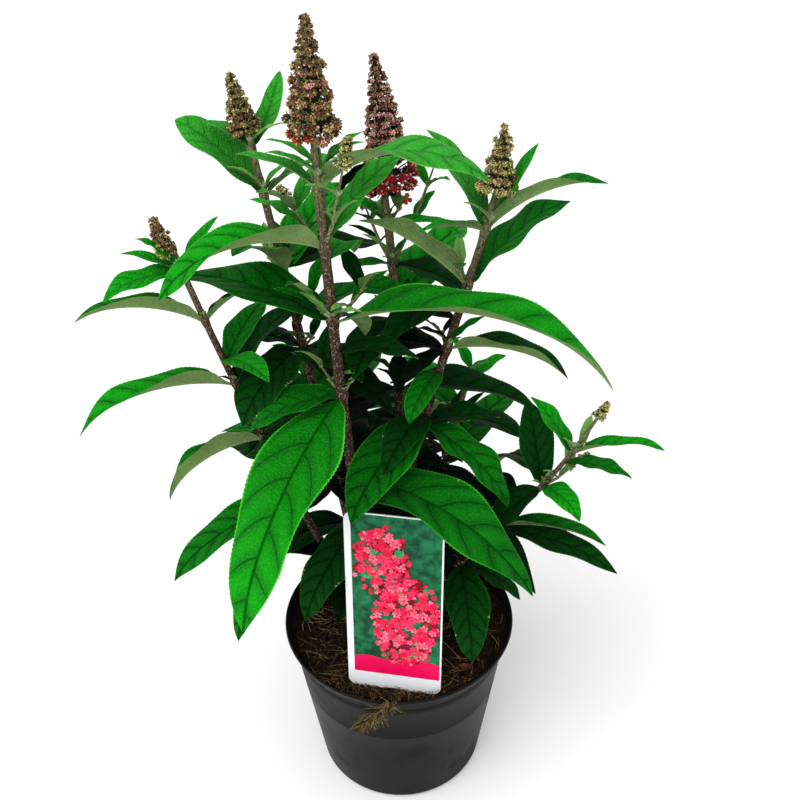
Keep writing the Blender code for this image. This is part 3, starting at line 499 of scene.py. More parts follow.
# leaves that differ from the rest in form, or in the painted light and shade of their finish
leafForms = {
    ("leftmid", 0.384, 45): dict(longer=1.15, broader=0.56, blunt=2.2, turned=13, finish="leafSun"),
    ("leftmid", 0.352, 176): dict(longer=0.97, broader=1.05, blunt=2.0, finish="leafSun"),
    ("leftmid", 0.384, 178): dict(blunt=1.8, finish="leafSun"),
    ("middle", 0.341, 15): dict(broader=0.9, blunt=1.8, finish="leafSun"),
    ("middle", 0.286, 343): dict(longer=1.04, blunt=0.3, finish="leafSun"),
    ("middle", 0.380, 335): dict(broader=1.1, finish="leafSun"),
    ("middle", 0.226, 243): dict(finish="leafSun"),
    ("middle", 0.148, 324): dict(finish="leafMid"),
    ("middle", 0.286, 163): dict(finish="leafMid"),
    ("right", 0.180, 230): dict(finish="leafMid"),
    ("right", 0.292, 8): dict(broader=1.3, longer=0.97, blunt=1.5, finish="leafMid"),
    ("right", 0.345, 10): dict(broader=1.5, lifted=18, finish="leafSun"),
    ("right", 0.333, 152): dict(broader=1.2, finish="leafSun"),
    ("lowright", 0.172, 104): dict(blunt=1.8, finish="leafShade"),
    ("lowright", 0.124, 343): dict(finish="leafMid"),
    ("right", 0.243, 343): dict(finish="leafShade"),
}
# leaves by rule that face the middle of the crown
inner = {
    "spots": 9,
    "share": (0.14, 0.82),
    "lengths": (0.050, 0.095),
    "rise": (-5, 30),
    "droop": (35, 60),
    "width": (0.34, 0.44),
    "spread": 70,
    "centre": (0.0, 0.012),
}
# turns tried in order until a shoot or leaf is clear of its neighbours
shootTries = ((0, 0), (12, -6), (-12, -6), (24, 0), (-24, 0), (0, 12), (0, -12), (36, 0), (-36, 0))
shownTries = (
    (0, 0, 1), (5, 0, 1), (-5, 0, 1), (0, 6, 1), (0, -6, 1), (9, 5, 1), (-9, -5, 1), (12, 0, 0.95),
    (-12, 0, 0.95), (0, 12, 0.9), (0, -12, 0.9),
)
ruleTurns = (
    (0, 0), (10, 8), (-10, -8), (8, -16), (-8, 16), (20, 0), (-20, 0), (0, 26), (0, -26), (32, 8),
)
ruleTries = tuple((rise, turn, size) for size in (1.0, 0.85, 0.7, 0.55) for rise, turn in ruleTurns)


def about(dice, middle, sway):
    return middle + dice.uniform(-sway, sway)


def unit(vector):
    return vector / np.linalg.norm(vector)


def headingVector(heading, lean):
    around, down = math.radians(heading), math.radians(lean)
    level = math.sin(down)
    return np.array([level * math.cos(around), level * math.sin(around), math.cos(down)])


def stemPath(start, heading, turn, leans, length, steps):
    foot, middle, top = leans
    points, ways = [np.array(start, float)], []
    for i in range(steps):
        s = (i + 0.5) / steps
        lean = foot * (1 - s) * (1 - 2 * s) + 4 * middle * s * (1 - s) + top * s * (2 * s - 1)
        ways.append(headingVector(heading + turn * s, lean))
        points.append(points[-1] + ways[-1] * length / steps)
    return np.array(points), np.array(ways + ways[-1:])


def onPath(stem, at):
    path, ways = stem["path"], stem["ways"]
    steps = len(path) - 1
    place = min(max(at / stem["length"] * steps, 0), steps - 1e-9)
    i = int(place)
    share = place - i
    return path[i] + (path[i + 1] - path[i]) * share, unit(ways[i] + (ways[i + 1] - ways[i]) * share)


def halfWidth(leaf, s):
    t = max(0.0, (s - 0.04) / 0.96)
    if t >= 1:
        return 0
    broaden, narrow = leafGrowth["outline"]
    swell = t**broaden * (1 - t) ** narrow
    peak = broaden / (broaden + narrow)
    most = peak**broaden * (1 - peak) ** narrow
    stalk = min(leafGrowth["stalk"], leafGrowth["stalkPerLength"] * leaf["length"])
    return 0.5 * leaf["length"] * leaf["width"] * swell / most + stalk * (1 - s)


def leafWay(leaf, s):
    heading = leaf["heading"] + leaf["sweep"] * s
    tip = leaf["rise"] - leaf["droop"] * s ** leafGrowth["droopBend"]
    return heading, headingVector(heading, 90 - tip)


def leafFrames(leaf, stations):
    points, sides, ups = [], [], []
    at, last = np.array(leaf["base"], float), 0.0
    for s in stations:
        for part in range(3):
            _, along = leafWay(leaf, last + (s - last) * (part + 0.5) / 3)
            at = at + along * leaf["length"] * (s - last) / 3
        last = s
        heading, along = leafWay(leaf, s)
        flat = np.array([math.sin(math.radians(heading)), -math.cos(math.radians(heading)), 0.0])
        roll = math.radians(leaf["roll"] * (0.4 + 0.6 * s))
        side = flat * math.cos(roll) + np.cross(flat, along) * math.sin(roll)
        points.append(at)
        sides.append(side)
        ups.append(np.cross(side, along))
    return points, sides, ups


def leafStations(length, start):
    marks = (0.12, 0.45)
    if length > 0.04:
        marks = (0.09, 0.34, 0.66)
    if length > 0.07:
        marks = (0.08, 0.28, 0.55, 0.80)
    return [start] + [s for s in marks if s > start + 0.02] + [1.0]


def leafSolid(leaf, start=0.0, grow=0.0):
    stations = leafStations(leaf["length"], start)
    middle, side, up = leafFrames(leaf, stations)
    fold = math.radians(leafGrowth["fold"])
    points, faces = [], []
    for i, s in enumerate(stations[:-1]):
        wide = halfWidth(leaf, s) + grow
        thick = max(leafGrowth["thick"], leaf["length"] / leafGrowth["lengthPerThick"])
        thick = thick * (1 - 0.35 * s) + grow
        bend = fold * min(1, s / 0.2)
        lift = up[i] * wide * math.sin(bend)
        out = side[i] * wide * math.cos(bend)
        rib = up[i] * thick
        points += [middle[i] - out + lift, middle[i] + rib, middle[i] + out + lift, middle[i] - rib]
    points.append(middle[-1] + (middle[-1] - middle[-2]) / 100)
    for i in range(len(stations) - 2):
        for j in range(4):
            a, b = 4 * i + j, 4 * i + (j + 1) % 4
            faces.append((a, b, b + 4, a + 4))
    last, tip = len(points) - 5, len(points) - 1
    faces += [(last + j, last + (j + 1) % 4, tip) for j in range(4)]
    faces.append((3, 2, 1, 0))
    return points, faces


def tube(path, ways, radii, sides):
    points, faces = [], []
    across = unit(np.cross(ways[0], (0.0, 1.0, 0.0)) + np.array([1e-6, 0, 0]))
    for at, way, radius in zip(path, ways, radii):
        across = unit(across - way * across.dot(way))
        other = np.cross(way, across)
        for j in range(sides):
            turn = math.tau * j / sides
            points.append(at + (across * math.cos(turn) + other * math.sin(turn)) * radius)
    for i in range(len(path) - 1):
        for j in range(sides):
            a, b = sides * i + j, sides * i + (j + 1) % sides
            faces.append((a, b, b + sides, a + sides))
    faces.append(tuple(reversed(range(sides))))
    faces.append(tuple(range(len(points) - sides, len(points))))
    return points, faces


def spikeSolid(foot, way, length, radius, tiers, sides):
    path, radii = [foot - way * length * 0.03], [radius * 0.35]
    for i in range(tiers):
        full = radius * (1 - (i + 0.25) / tiers) ** 0.7
        path += [foot + way * length * (i + 0.35) / tiers, foot + way * length * (i + 0.85) / tiers]
        radii += [full, full * 0.7]
    path.append(foot + way * length)
    radii.append(radius * 0.12)
    return tube(np.array(path), [way] * len(path), radii, sides)


def budSolid(centre, way):
    size = twig["bud"]
    path = [centre + way * size * height for height in (-1, 0, 1.5)]
    return tube(path, [way] * 3, [size * 0.5, size, size * 0.3], 5)


def caneRadius(cane, at):
    foot, top = cane["girth"]
    swell = sum(math.exp(-(((at - node) * 1.5 / growth["collar"]) ** 2)) for node in cane["nodes"])
    return (foot + (top - foot) * at / cane["length"]) * (1 + growth["collarSwell"] * swell)


def limbBetween(cane, start, end, step):
    count = max(2, round((end - start) / step))
    reach = growth["collar"]
    marks = [start + (end - start) * i / count for i in range(count + 1)]
    collars = [at for at in cane["nodes"] if start + 1.3 * reach < at < end - 1.3 * reach]
    marks = [at for at in marks if all(abs(at - collar) > 1.5 * reach for collar in collars)]
    marks = sorted(marks + [at + shift for at in collars for shift in (-reach, 0, reach)])
    places = [onPath(cane, at) for at in marks]
    radii = [caneRadius(cane, at) for at in marks]
    return tube([p for p, _ in places], [w for _, w in places], radii, 6)


def massSpans(name, cane):
    if cane["split"] is None:
        return {name + "_foliage": (cane["bare"] + growth["clear"], cane["length"])}
    return {
        name + "_lower_foliage": (cane["bare"] + growth["clear"], cane["split"]),
        name + "_upper_foliage": (cane["split"] + growth["clear"], cane["length"]),
    }


def massOf(name, cane, at):
    if cane["split"] is None:
        return name + "_foliage"
    return name + ("_lower_foliage" if at < cane["split"] else "_upper_foliage")


def makeLeaf(stem, at, heading, length, rise, droop, width=leafGrowth["width"], roll=0, sweep=0):
    base, _ = onPath(stem, at)
    leaf = dict(base=base, heading=heading, length=length, rise=rise, droop=droop)
    leaf.update(width=width, roll=roll, sweep=sweep)
    return leaf


def treeOf(solid):
    points, faces = solid
    tree = BVHTree.FromPolygons([tuple(p) for p in points], faces)
    return tree, np.min(points, axis=0), np.max(points, axis=0)


def joined(solids):
    points, faces = [], []
    for morePoints, moreFaces in solids:
        first = len(points)
        points += list(morePoints)
        faces += [tuple(first + corner for corner in face) for face in moreFaces]
    return points, faces


def treesMeet(one, other):
    if (one[1] > other[2]).any() or (other[1] > one[2]).any():
        return False
    return bool(one[0].overlap(other[0]))


def isFree(room, mass, whole, blade):
    if any(owner != mass and treesMeet(whole, tree) for owner, tree in room["fixed"]):
        return False
    for owner, otherWhole, otherBlade in room["grown"]:
        mine, theirs = (blade, otherBlade) if owner == mass else (whole, otherWhole)
        if treesMeet(mine, theirs):
            return False
    return True


def placeLeaf(room, mass, leaf, tries):
    margin = growth["margin"]
    for rise, turn, size in tries:
        turned = dict(leaf, rise=leaf["rise"] + rise, heading=leaf["heading"] + turn)
        turned["length"] = leaf["length"] * size
        whole = treeOf(leafSolid(turned, 0.0, margin))
        blade = treeOf(leafSolid(turned, leafGrowth["root"], margin))
        if isFree(room, mass, whole, blade):
            room["grown"].append((mass, whole, blade))
            return turned
    return None


def ruleLeaves(name, cane, dice):
    first, slope, curve = leafGrowth["sizes"]
    rise, gain, riseSway = leafGrowth["rise"]
    droop, more, droopSway = leafGrowth["droop"]
    for i, at in enumerate(cane["nodes"]):
        s = at / cane["length"]
        length = cane["leaf"] * (first + slope * s + curve * s * s)
        shown = [row[2] for row in shownLeaves if row[0] == name and row[1] == at]
        start = shown[0] if shown else cane["first"] + 90 * (i % 2)
        for half in (0, 180):
            heading = about(dice, start + half, leafGrowth["heading"]) % 360
            angles = about(dice, rise + gain * s, riseSway), about(dice, droop + more * s, droopSway)
            size = dice.uniform(*leafGrowth["chance"])
            if len(shown) < 2 and not (shown and half == 0):
                yield at, heading, length * size, *angles


def nearHeading(one, other):
    return abs((one - other + 180) % 360 - 180) < growth["sameSide"]


def shootStalk(stem, at, heading, lean, length):
    base, _ = onPath(stem, at)
    more, less = twig["bend"]
    path, ways = stemPath(base, heading, 0, (lean + more, lean, lean + less), length, 2)
    shoot = dict(path=path, ways=ways, length=length, heading=heading)
    radii = np.linspace(*twig["radii"], 3) + growth["margin"]
    bud = budSolid(path[-1], ways[-1])
    root = twig["root"]
    outer = [onPath(shoot, place) for place in (root, (root + length) / 2, length)]
    bare = tube([point for point, _ in outer], [way for _, way in outer], radii, 4)
    whole = treeOf(joined([tube(path, ways, radii, 4), bud]))
    return shoot, (whole, treeOf(joined([bare, bud])))


def growShoot(room, mass, stem, row, dice):
    at, heading, lean, length, leafLength, spike = row
    for turn, tip in shootTries:
        shoot, trees = shootStalk(stem, at, heading + turn, lean + tip, length)
        if isFree(room, mass, *trees):
            break
    else:
        return None
    leaves = []
    for where, turn, size in twig["leaves"][: 4 if length > twig["long"] else 2]:
        heading, rise = (shoot["heading"] + turn) % 360, about(dice, *twig["leafRise"])
        angles = heading, leafLength * size, rise, twig["leafDroop"], twig["leafWidth"]
        leaves.append(placeLeaf(room, mass, makeLeaf(shoot, length * where, *angles), ruleTries[:5]))
    room["grown"].append((mass, *trees))
    spikes = []
    if spike:
        spikes.append((shoot["path"][-1], shoot["ways"][-1], *spike))
        tip = treeOf(spikeSolid(*spikes[0], *twig["youngForm"]))
        room["grown"].append((mass, tip, tip))
    return dict(shoots=[shoot], youngLeaves=[leaf for leaf in leaves if leaf], spikes=spikes)


def addShoot(masses, room, name, row, dice):
    mass = massOf(name, canes[name], row[0])
    grown = growShoot(room, mass, canes[name], row, dice)
    for kind, pieces in (grown or {}).items():
        masses[mass][kind] += pieces


def addTopSpikes(masses, room):
    margin = growth["margin"]
    for name, cane in canes.items():
        if cane["spike"]:
            foot, way = onPath(cane, cane["length"])
            length, radius = cane["spike"]
            masses[massOf(name, cane, cane["length"])]["spikes"].append((foot, way, length, radius))
            start = foot + way * twig["bud"] * 2
            clear = spikeSolid(start, way, length + margin, radius + margin, *twig["spikeForm"])
            room["fixed"].append((None, treeOf(clear)))


def addRuleShoots(masses, room, dice):
    for name, cane in canes.items():
        for i, at in enumerate(cane["nodes"]):
            if at < cane["length"] * cane["shoots"]:
                continue
            shown = [row[2] for row in shownShoots if row[0] == name and row[1] == at]
            for half in (0, 180):
                heading = about(dice, cane["first"] + 90 * (i % 2) + half, twig["heading"]) % 360
                lean, size = about(dice, *twig["lean"]), dice.uniform(*twig["chance"])
                if not any(nearHeading(heading, other) for other in shown):
                    length, leafLength = (size * part for part in twig["lengths"])
                    addShoot(masses, room, name, (at, heading, lean, length, leafLength, None), dice)


def addPlaced(masses, room, name, leaf, at, tries):
    mass = massOf(name, canes[name], at)
    placed = placeLeaf(room, mass, leaf, tries)
    if placed:
        masses[mass]["leaves"].append(placed)


def addInnerLeaves(masses, room):
    # leaves that turn in to the middle of the crown and close it
    dice = random.Random(growth["seed"] + 1)
    low, high = inner["share"]
    for name, cane in canes.items():
        for k in range(inner["spots"]):
            at = cane["length"] * (low + (high - low) * (k + dice.random()) / inner["spots"])
            base, _ = onPath(cane, at)
            toward = math.degrees(math.atan2(inner["centre"][1] - base[1], inner["centre"][0] - base[0]))
            heading = about(dice, toward, inner["spread"]) % 360
            sizes = [dice.uniform(*inner[key]) for key in ("lengths", "rise", "droop", "width")]
            addPlaced(masses, room, name, makeLeaf(cane, at, heading, *sizes), at, ruleTries)


def growPlant(room):
    masses = {}
    for name, cane in canes.items():
        for mass in massSpans(name, cane):
            masses[mass] = dict(leaves=[], youngLeaves=[], shoots=[], spikes=[])
    dice = random.Random(growth["seed"])
    addTopSpikes(masses, room)
    for name, at, heading, *sizes in shownLeaves:
        leaf = makeLeaf(canes[name], at, heading, *sizes)
        leaf["turns"] = leafTurns.get((name, at, heading))
        leaf["form"] = leafForms.get((name, at, heading), {})
        addPlaced(masses, room, name, leaf, at, shownTries)
    for name, *row in shownShoots:
        addShoot(masses, room, name, row, dice)
    for name, cane in canes.items():
        for at, *sizes in ruleLeaves(name, cane, dice):
            addPlaced(masses, room, name, makeLeaf(cane, at, *sizes), at, ruleTries)
    addRuleShoots(masses, room, dice)
    addInnerLeaves(masses, room)
    return masses


# pot and label, which the leaves grow round
pot = {
    "height": 0.150,
    "rim": 0.095,
    "bandFoot": 0.128,
    "body": 0.0882,
    "step": 0.0013,
    "base": 0.071,
    "corner": 0.006,
    "wall": 0.0016,
    "floor": 0.0025,
    "sides": 160,
}
soil = {"top": 0.138, "lump": 0.0012}
label = {
    "foot": (-0.0042, -0.0727),
    "size": (0.0725, 0.158),
    "corner": 0.007,
    "thick": 0.0009,
    "yaw": -11,
    "lean": 4.3,
    "stake": (0.014, 0.050),
    "lift": 0.0010,
}


def labelMatrix():
    yaw, lean = math.radians(label["yaw"]), math.radians(label["lean"])
    across = Vector((math.cos(yaw), math.sin(yaw), 0))
    facing = Vector((math.sin(yaw), -math.cos(yaw), 0))
    up = Vector((0, 0, math.cos(lean))) - facing * math.sin(lean)
    turned = Matrix((across, up, across.cross(up))).transposed().to_4x4()
    foot = (*label["foot"], soil["top"] + soil["lump"] + label["lift"])
    return Matrix.Translation(foot) @ turned


def roundedBox(left, right, low, high, corner, steps=6):
    outline = []
    for x, y, start in (
        (right - corner, low + corner, -90),
        (right - corner, high - corner, 0),
        (left + corner, high - corner, 90),
        (left + corner, low + corner, 180),
    ):
        for step in range(steps + 1):
            turn = math.radians(start + 90 * step / steps)
            outline.append((x + corner * math.cos(turn), y + corner * math.sin(turn)))
    return outline


def labelSolid():
    wide, tall = label["size"]
    half, deep = label["stake"][0] / 2, label["stake"][1]
    outline = [(-half, 0), (-half, half - deep), (0, -deep), (half, half - deep), (half, 0)]
    outline += roundedBox(-wide / 2, wide / 2, 0, tall, label["corner"], 4)
    place, thick = labelMatrix(), label["thick"]
    points = [np.array(place @ Vector((x, y, thick / 2 * end))) for end in (-1, 1) for x, y in outline]
    count = len(outline)
    faces = [tuple(range(count)), tuple(reversed(range(count, 2 * count)))]
    faces += [(i, i + count, (i + 1) % count + count, (i + 1) % count) for i in range(count)]
    return points, faces


def potOutside():
    return [
        (pot["base"] - pot["corner"], 0.0),
        (pot["base"] - pot["corner"] * 0.3, pot["corner"] * 0.3),
        (pot["base"] + 0.0004, pot["corner"]),
        (pot["body"] - pot["step"], pot["bandFoot"] - 0.0006),
        (pot["body"] + pot["step"], pot["bandFoot"] + 0.0012),
        (pot["rim"] - 0.0008, pot["height"] - 0.0030),
        (pot["rim"], pot["height"] - 0.0016),
        (pot["rim"] - 0.0005, pot["height"]),
    ]


def ringSolid(profile, sides):
    points = [(0, 0, profile[0][1])]
    for radius, height in profile[1:-1]:
        for j in range(sides):
            turn = math.tau * j / sides
            points.append((radius * math.cos(turn), radius * math.sin(turn), height))
    points.append((0, 0, profile[-1][1]))
    faces = [(0, 1 + (j + 1) % sides, 1 + j) for j in range(sides)]
    for i in range(len(profile) - 3):
        for j in range(sides):
            a, b = 1 + sides * i + j, 1 + sides * i + (j + 1) % sides
            faces.append((a, b, b + sides, a + sides))
    last, top = 1 + sides * (len(profile) - 3), len(points) - 1
    faces += [(last + j, last + (j + 1) % sides, top) for j in range(sides)]
    return points, faces


def standingPieces():
    fixed = [(None, treeOf(labelSolid()))]
    lip = (pot["rim"] - pot["wall"], pot["height"])
    profile = [(0, 0.0)] + potOutside() + [lip, (0, soil["top"] + 0.002)]
    fixed.append((None, treeOf(ringSolid(profile, 40))))
    for name, cane in canes.items():
        fixed.append((name + "_bough", treeOf(limbBetween(cane, 0.0, cane["bare"], 0.02))))
        for mass, span in massSpans(name, cane).items():
            fixed.append((mass, treeOf(limbBetween(cane, *span, 0.03))))
    return dict(fixed=fixed, grown=[])


for cane in canes.values():
    start = (*cane["foot"], growth["stoolTop"] + growth["clear"])
    shape = cane["heading"], cane["turn"], cane["leans"], cane["length"], growth["stemSteps"]
    cane["path"], cane["ways"] = stemPath(start, *shape)
masses = growPlant(standingPieces())
leafCounts = [sum(len(grown[kind]) for grown in masses.values()) for kind in ("leaves", "youngLeaves")]
print("plant grown:", leafCounts[0], "leaves,", leafCounts[1], "young leaves")


# skins from rings of points, gathered into one mesh each
def newHeap():
    return dict(points=[], quads=[], tris=[], quadFinish=[], triFinish=[], place=[], facts=[], count=0)


def addSkin(heap, rings, foot, tip, finish, place=None, facts=None):
    count, sides = rings.shape[:2]
    row = np.arange(sides)
    after = (row + 1) % sides
    start = np.arange(count - 1)[:, None] * sides
    quads = np.stack([start + row, start + after, start + after + sides, start + row + sides], axis=-1)
    last = (count - 1) * sides
    footFan = np.stack([after, row, np.full(sides, count * sides)], axis=-1)
    tipFan = np.stack([last + row, last + after, np.full(sides, count * sides + 1)], axis=-1)
    heap["points"].append(np.concatenate([rings.reshape(-1, 3), [foot, tip]]))
    heap["quads"].append(quads.reshape(-1, 4) + heap["count"])
    heap["tris"].append(np.concatenate([footFan, tipFan]) + heap["count"])
    spread = np.broadcast_to(finish, (count - 1, sides))
    heap["quadFinish"].append(spread.reshape(-1))
    heap["triFinish"].append(np.concatenate([spread[0], spread[-1]]))
    for name, values in (("place", place), ("facts", facts)):
        if values is not None:
            full = np.broadcast_to(values, (count, sides, 3))
            ends = [full[0].mean(axis=0), full[-1].mean(axis=0)]
            heap[name].append(np.concatenate([full.reshape(-1, 3), ends]))
    heap["count"] += count * sides + 2


def stacked(*layers):
    return np.stack(np.broadcast_arrays(*layers), axis=-1)


def makePiece(heap, name, used, replaced=(), sharp=60, attributes=()):
    mesh = bpy.data.meshes.new(name)
    faces = np.concatenate(heap["quads"]).tolist() + np.concatenate(heap["tris"]).tolist()
    mesh.from_pydata(np.concatenate(heap["points"]).tolist(), [], faces)
    finish = np.concatenate(heap["quadFinish"] + heap["triFinish"]).astype(np.int32)
    mesh.polygons.foreach_set("material_index", finish)
    for source, attributeName in zip(("place", "facts"), attributes):
        values = np.concatenate(heap[source]).astype(np.float32)
        layer = mesh.attributes.new(attributeName, "FLOAT_VECTOR", "POINT")
        layer.data.foreach_set("vector", values.ravel())
    for finishName in used:
        mesh.materials.append(finishes[finishName])
    mesh.shade_smooth()
    mesh.set_sharp_from_angle(angle=math.radians(sharp))
    piece = bpy.data.objects.new(name, mesh)
    bpy.context.scene.collection.objects.link(piece)
    return settle(piece, replaced)


def triangleCount(piece):
    return sum(len(face.vertices) - 2 for face in piece.data.polygons)


def settle(piece, replaced=()):
    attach(piece, "root")
    if replaced:
        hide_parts(*replaced)
    return piece


def spun(across, other, turn):
    return across * math.cos(turn) + other * math.sin(turn)


def circle(across, other, sides):
    turns = np.linspace(0, math.tau, sides, endpoint=False)
    return np.outer(np.cos(turns), across) + np.outer(np.sin(turns), other)


def ringsAlong(points, ways, radii, sides):
    rings = []
    for at, way, radius in zip(points, ways, radii):
        across = unit(np.array([1.0, 0, 0]) - way * way[0] + np.array([0, 1e-5, 0]))
        rings.append(at + circle(across, np.cross(way, across), sides) * np.reshape(radius, (-1, 1)))
    return np.array(rings)


# leaves
leafShape = {
    "longerThan": (0.10, 0.05, 0.022, 0),  # the four grades of leaf
    "toothPitch": (0.0029, 0.0026, 0.0022, 0.0026),
    "strips": (6, 5, 4, 2),
    "blunt": (0.10, 0.20, 0.20, 0.12),
    "toothed": (0.055, 0.93),  # where the teeth begin, and how far they run
    "toothDepth": 0.0040,  # share of the length
    "deepest": 0.0007,
    "veinPairs": 6.5,
    "veinBend": (0.30, 1.15),
    "veinShift": 0.35,
    "thick": 0.00035,
    "stalkThick": 0.0011,
    "rib": 0.0008,
    "ribHalf": 0.0012,
    "groove": 0.0003,
    "pucker": 0.0085,
    "wave": 0.021,
    "sway": 0.095,
    "curl": 0.12,
    "hook": 0.035,
    "loose": 14,
}
leafUsed = list(leafFinishes)


def leafMarks(length, pitch):
    start, span = leafShape["toothed"]
    teeth = max(5, round(length * span / pitch))
    marks, cuts = [0.0, 0.03], [0.0, 0.0]
    for k in range(teeth):
        for part, cut in ((0.0, 1.0), (0.85, -0.15)):  # the notch, then the tooth's point
            marks.append(start + span * (k + part) / teeth)
            cuts.append(cut)
    return np.array(marks + [0.990, 0.997]), np.array(cuts + [0.0, 0.0])


def leafPose(leaf, ends, dice):
    # the leaf's own line, turned and hooked at the tip, and how steeply its halves fold
    middle, side, up = (np.array(found) for found in leafFrames(leaf, ends))
    loose = dice.uniform(0, leafShape["loose"])
    plain = (leafGrowth["fold"] + loose, leafGrowth["fold"] - 0.5 * loose, 0, 0)
    keel, flatter, tilt, level = leaf.get("turns") or plain
    roll = np.radians(tilt + (level - tilt) * ends)[:, None]
    side, up = side * np.cos(roll) + up * np.sin(roll), up * np.cos(roll) - side * np.sin(roll)
    hook = leafShape["hook"] * leaf["length"] * dice.uniform(0.2, 1.3)
    middle = middle - up * (hook * np.clip((ends - 0.7) / 0.3, 0, 1) ** 2)[:, None]
    fold = np.radians(keel + (flatter - keel) * ends) * np.minimum(1, ends / 0.16)
    return middle, side, up, fold[:-1, None]


def addLeaf(heap, leaf, top, under, dice):
    form = leaf.get("form", {})
    leaf = dict(
        leaf,
        length=leaf["length"] * form.get("longer", 1),
        width=leaf["width"] * form.get("broader", 1),
        heading=leaf["heading"] + form.get("turned", 0),
        rise=leaf["rise"] + form.get("lifted", 0),
    )
    length = leaf["length"]
    grade = next(i for i, least in enumerate(leafShape["longerThan"]) if length > least)
    strips = leafShape["strips"][grade]
    s, cuts = leafMarks(length, leafShape["toothPitch"][grade])
    middle, side, up, fold = leafPose(leaf, np.append(s, 1.0), dice)
    plain = np.array([halfWidth(leaf, at) for at in s])
    wide = plain * (1.003 - s) ** (-leafShape["blunt"][grade] * form.get("blunt", 1))
    most = plain.max()
    wide = wide * most / wide.max()
    depth = min(leafShape["deepest"], leafShape["toothDepth"] * length)
    wide = wide - cuts * depth * (wide / most) * (s > 0.1)
    near = np.minimum(0.4, leafShape["ribHalf"] / wide)[:, None]
    reach = near + (1 - near) * np.linspace(0, 1, strips)
    zero = np.zeros((len(s), 1))
    upper = np.concatenate([-reach[:, ::-1], zero, reach], axis=1)
    lower = np.concatenate([reach[:, -2::-1], zero, -reach[:, :-1]], axis=1)
    x = np.concatenate([upper, lower], axis=1)
    grown = leafShape["sway"] * np.clip((s - 0.1) / 0.2, 0, 1)
    left, right = (
        1 + grown * np.sin(math.tau * dice.uniform(0.9, 1.9) * s + dice.uniform(0, math.tau))
        for _ in (0, 1)
    )
    half = np.where(x > 0, right[:, None], left[:, None]) * wide[:, None]
    away = np.abs(x) * half
    along = (s * length)[:, None]
    veinPitch = length / leafShape["veinPairs"]
    bend, more = leafShape["veinBend"]
    vein = (along - bend * away - more * away**2 / most) / veinPitch + leafShape["veinShift"] * (x > 0)
    fade = (np.sin(np.pi * s) ** 0.6)[:, None]
    waves, phase = dice.uniform(1.6, 3.0), dice.uniform(0, math.tau)
    ripple = np.sin(math.tau * waves * s[:, None] + phase + 1.9 * (x > 0))
    lift = away * np.sin(fold) - leafShape["curl"] * half * x**2 * np.minimum(1, s / 0.2)[:, None]
    lift += leafShape["wave"] * length * dice.uniform(0.4, 1.3) * x**2 * ripple * fade
    bulge = np.sin(np.pi * vein) ** 2 * np.sin(np.pi * np.abs(x) ** 0.8)
    lift += leafShape["pucker"] * length * bulge * fade
    stout = np.maximum(0, 1 - s / 0.08)[:, None]
    thick = leafShape["thick"] + (leafShape["stalkThick"] - leafShape["thick"]) * stout
    lift -= (np.arange(x.shape[1]) > 2 * strips) * thick
    lift[:, 3 * strips] -= leafShape["rib"] * (1 - s) ** 1.2
    lift[:, strips] -= leafShape["groove"] * np.minimum(1, s / 0.1)
    rings = middle[:-1, None] + side[:-1, None] * (x * half * np.cos(fold))[..., None]
    rings = rings + up[:-1, None] * lift[..., None]
    # darker towards the foot of the blade, a painted shade, shifted at random for each leaf
    fresh = np.clip(0.15 + 1.1 * s[:, None] + dice.uniform(-0.25, 0.25), 0, 1)
    place = stacked(along + dice.uniform(0, 9), x * half, np.abs(x))
    facts = stacked(vein, fresh, veinPitch)
    columns = np.where(np.arange(4 * strips) < 2 * strips, top, under)
    addSkin(heap, rings, middle[0], middle[-1], columns, place, facts)


# rays that measure the open sky over each leaf, to choose its painted light and shade
openSky = {
    "leans": (18, 42, 66),
    "turn": 45,  # between rays of one ring, and each ring is turned a third of it on
    "bright": (150, 300, 1.8),  # headings that the light comes from, and what a ray counts there
    "reach": 0.30,
    "clear": 0.004,
}
canopy, _, _ = treeOf(joined([leafSolid(leaf) for grown in masses.values() for leaf in grown["leaves"]]))
skyward = []
for ring, lean in enumerate(openSky["leans"]):
    for heading in range(0, 360, openSky["turn"]):
        low, high, bright = openSky["bright"]
        weight = bright if low < heading < high else 1.0
        skyward.append((Vector(headingVector(heading + openSky["turn"] / 3 * ring, lean)), weight))


def lightOn(leaf):
    middle, _, up = leafFrames(leaf, [0.5])
    start = Vector(middle[0] + up[0] * openSky["clear"])
    reached = [w for way, w in skyward if canopy.ray_cast(start, way, openSky["reach"])[0] is None]
    return sum(reached) / sum(weight for _, weight in skyward)


# share of the open sky a leaf sees, and the finish of its upper side: less sky gives a darker finish, a
# painted shade
leafLights = ((0.68, "leafSun"), (0.47, "leafMid"), (0.26, "leafShade"), (-1, "leafDeep"))
# below this share of open sky the underside takes its painted-shade finish
underLit = 0.30
freshLitAbove = 0.515
youngUnder = 0.030
tufts = {
    "from": 0.30,
    "lengths": (0.009, 0.017),
    "rise": (40, 70),
    "droop": 30,
    "width": 0.34,
    "apart": (20, 50),
    "clear": 0.002,
}


def leafFinishOf(leaf):
    lit = lightOn(leaf)
    top = next(name for least, name in leafLights if lit > least)
    top = leaf.get("form", {}).get("finish", top)
    # lit leaves high in the crown take a paler, yellower green: the colour of young leaves, and painted
    # light as well
    if top == "leafSun" and leafFrames(leaf, [0.5])[0][0][2] > freshLitAbove:
        top = "leafFreshLit"
    under = "leafUnder" if lit > underLit else "leafUnderShade"
    return leafUsed.index(top), leafUsed.index(under)


# small young leaves take their pale finish only where lit; in shade they keep the painted-shade finish of
# their place
def youngFinish(leaf):
    top, under = leafFinishOf(leaf)
    fresh = leaf["length"] < youngUnder and top < leafUsed.index("leafShade")
    return (leafUsed.index("leafYoung") if fresh else top), under


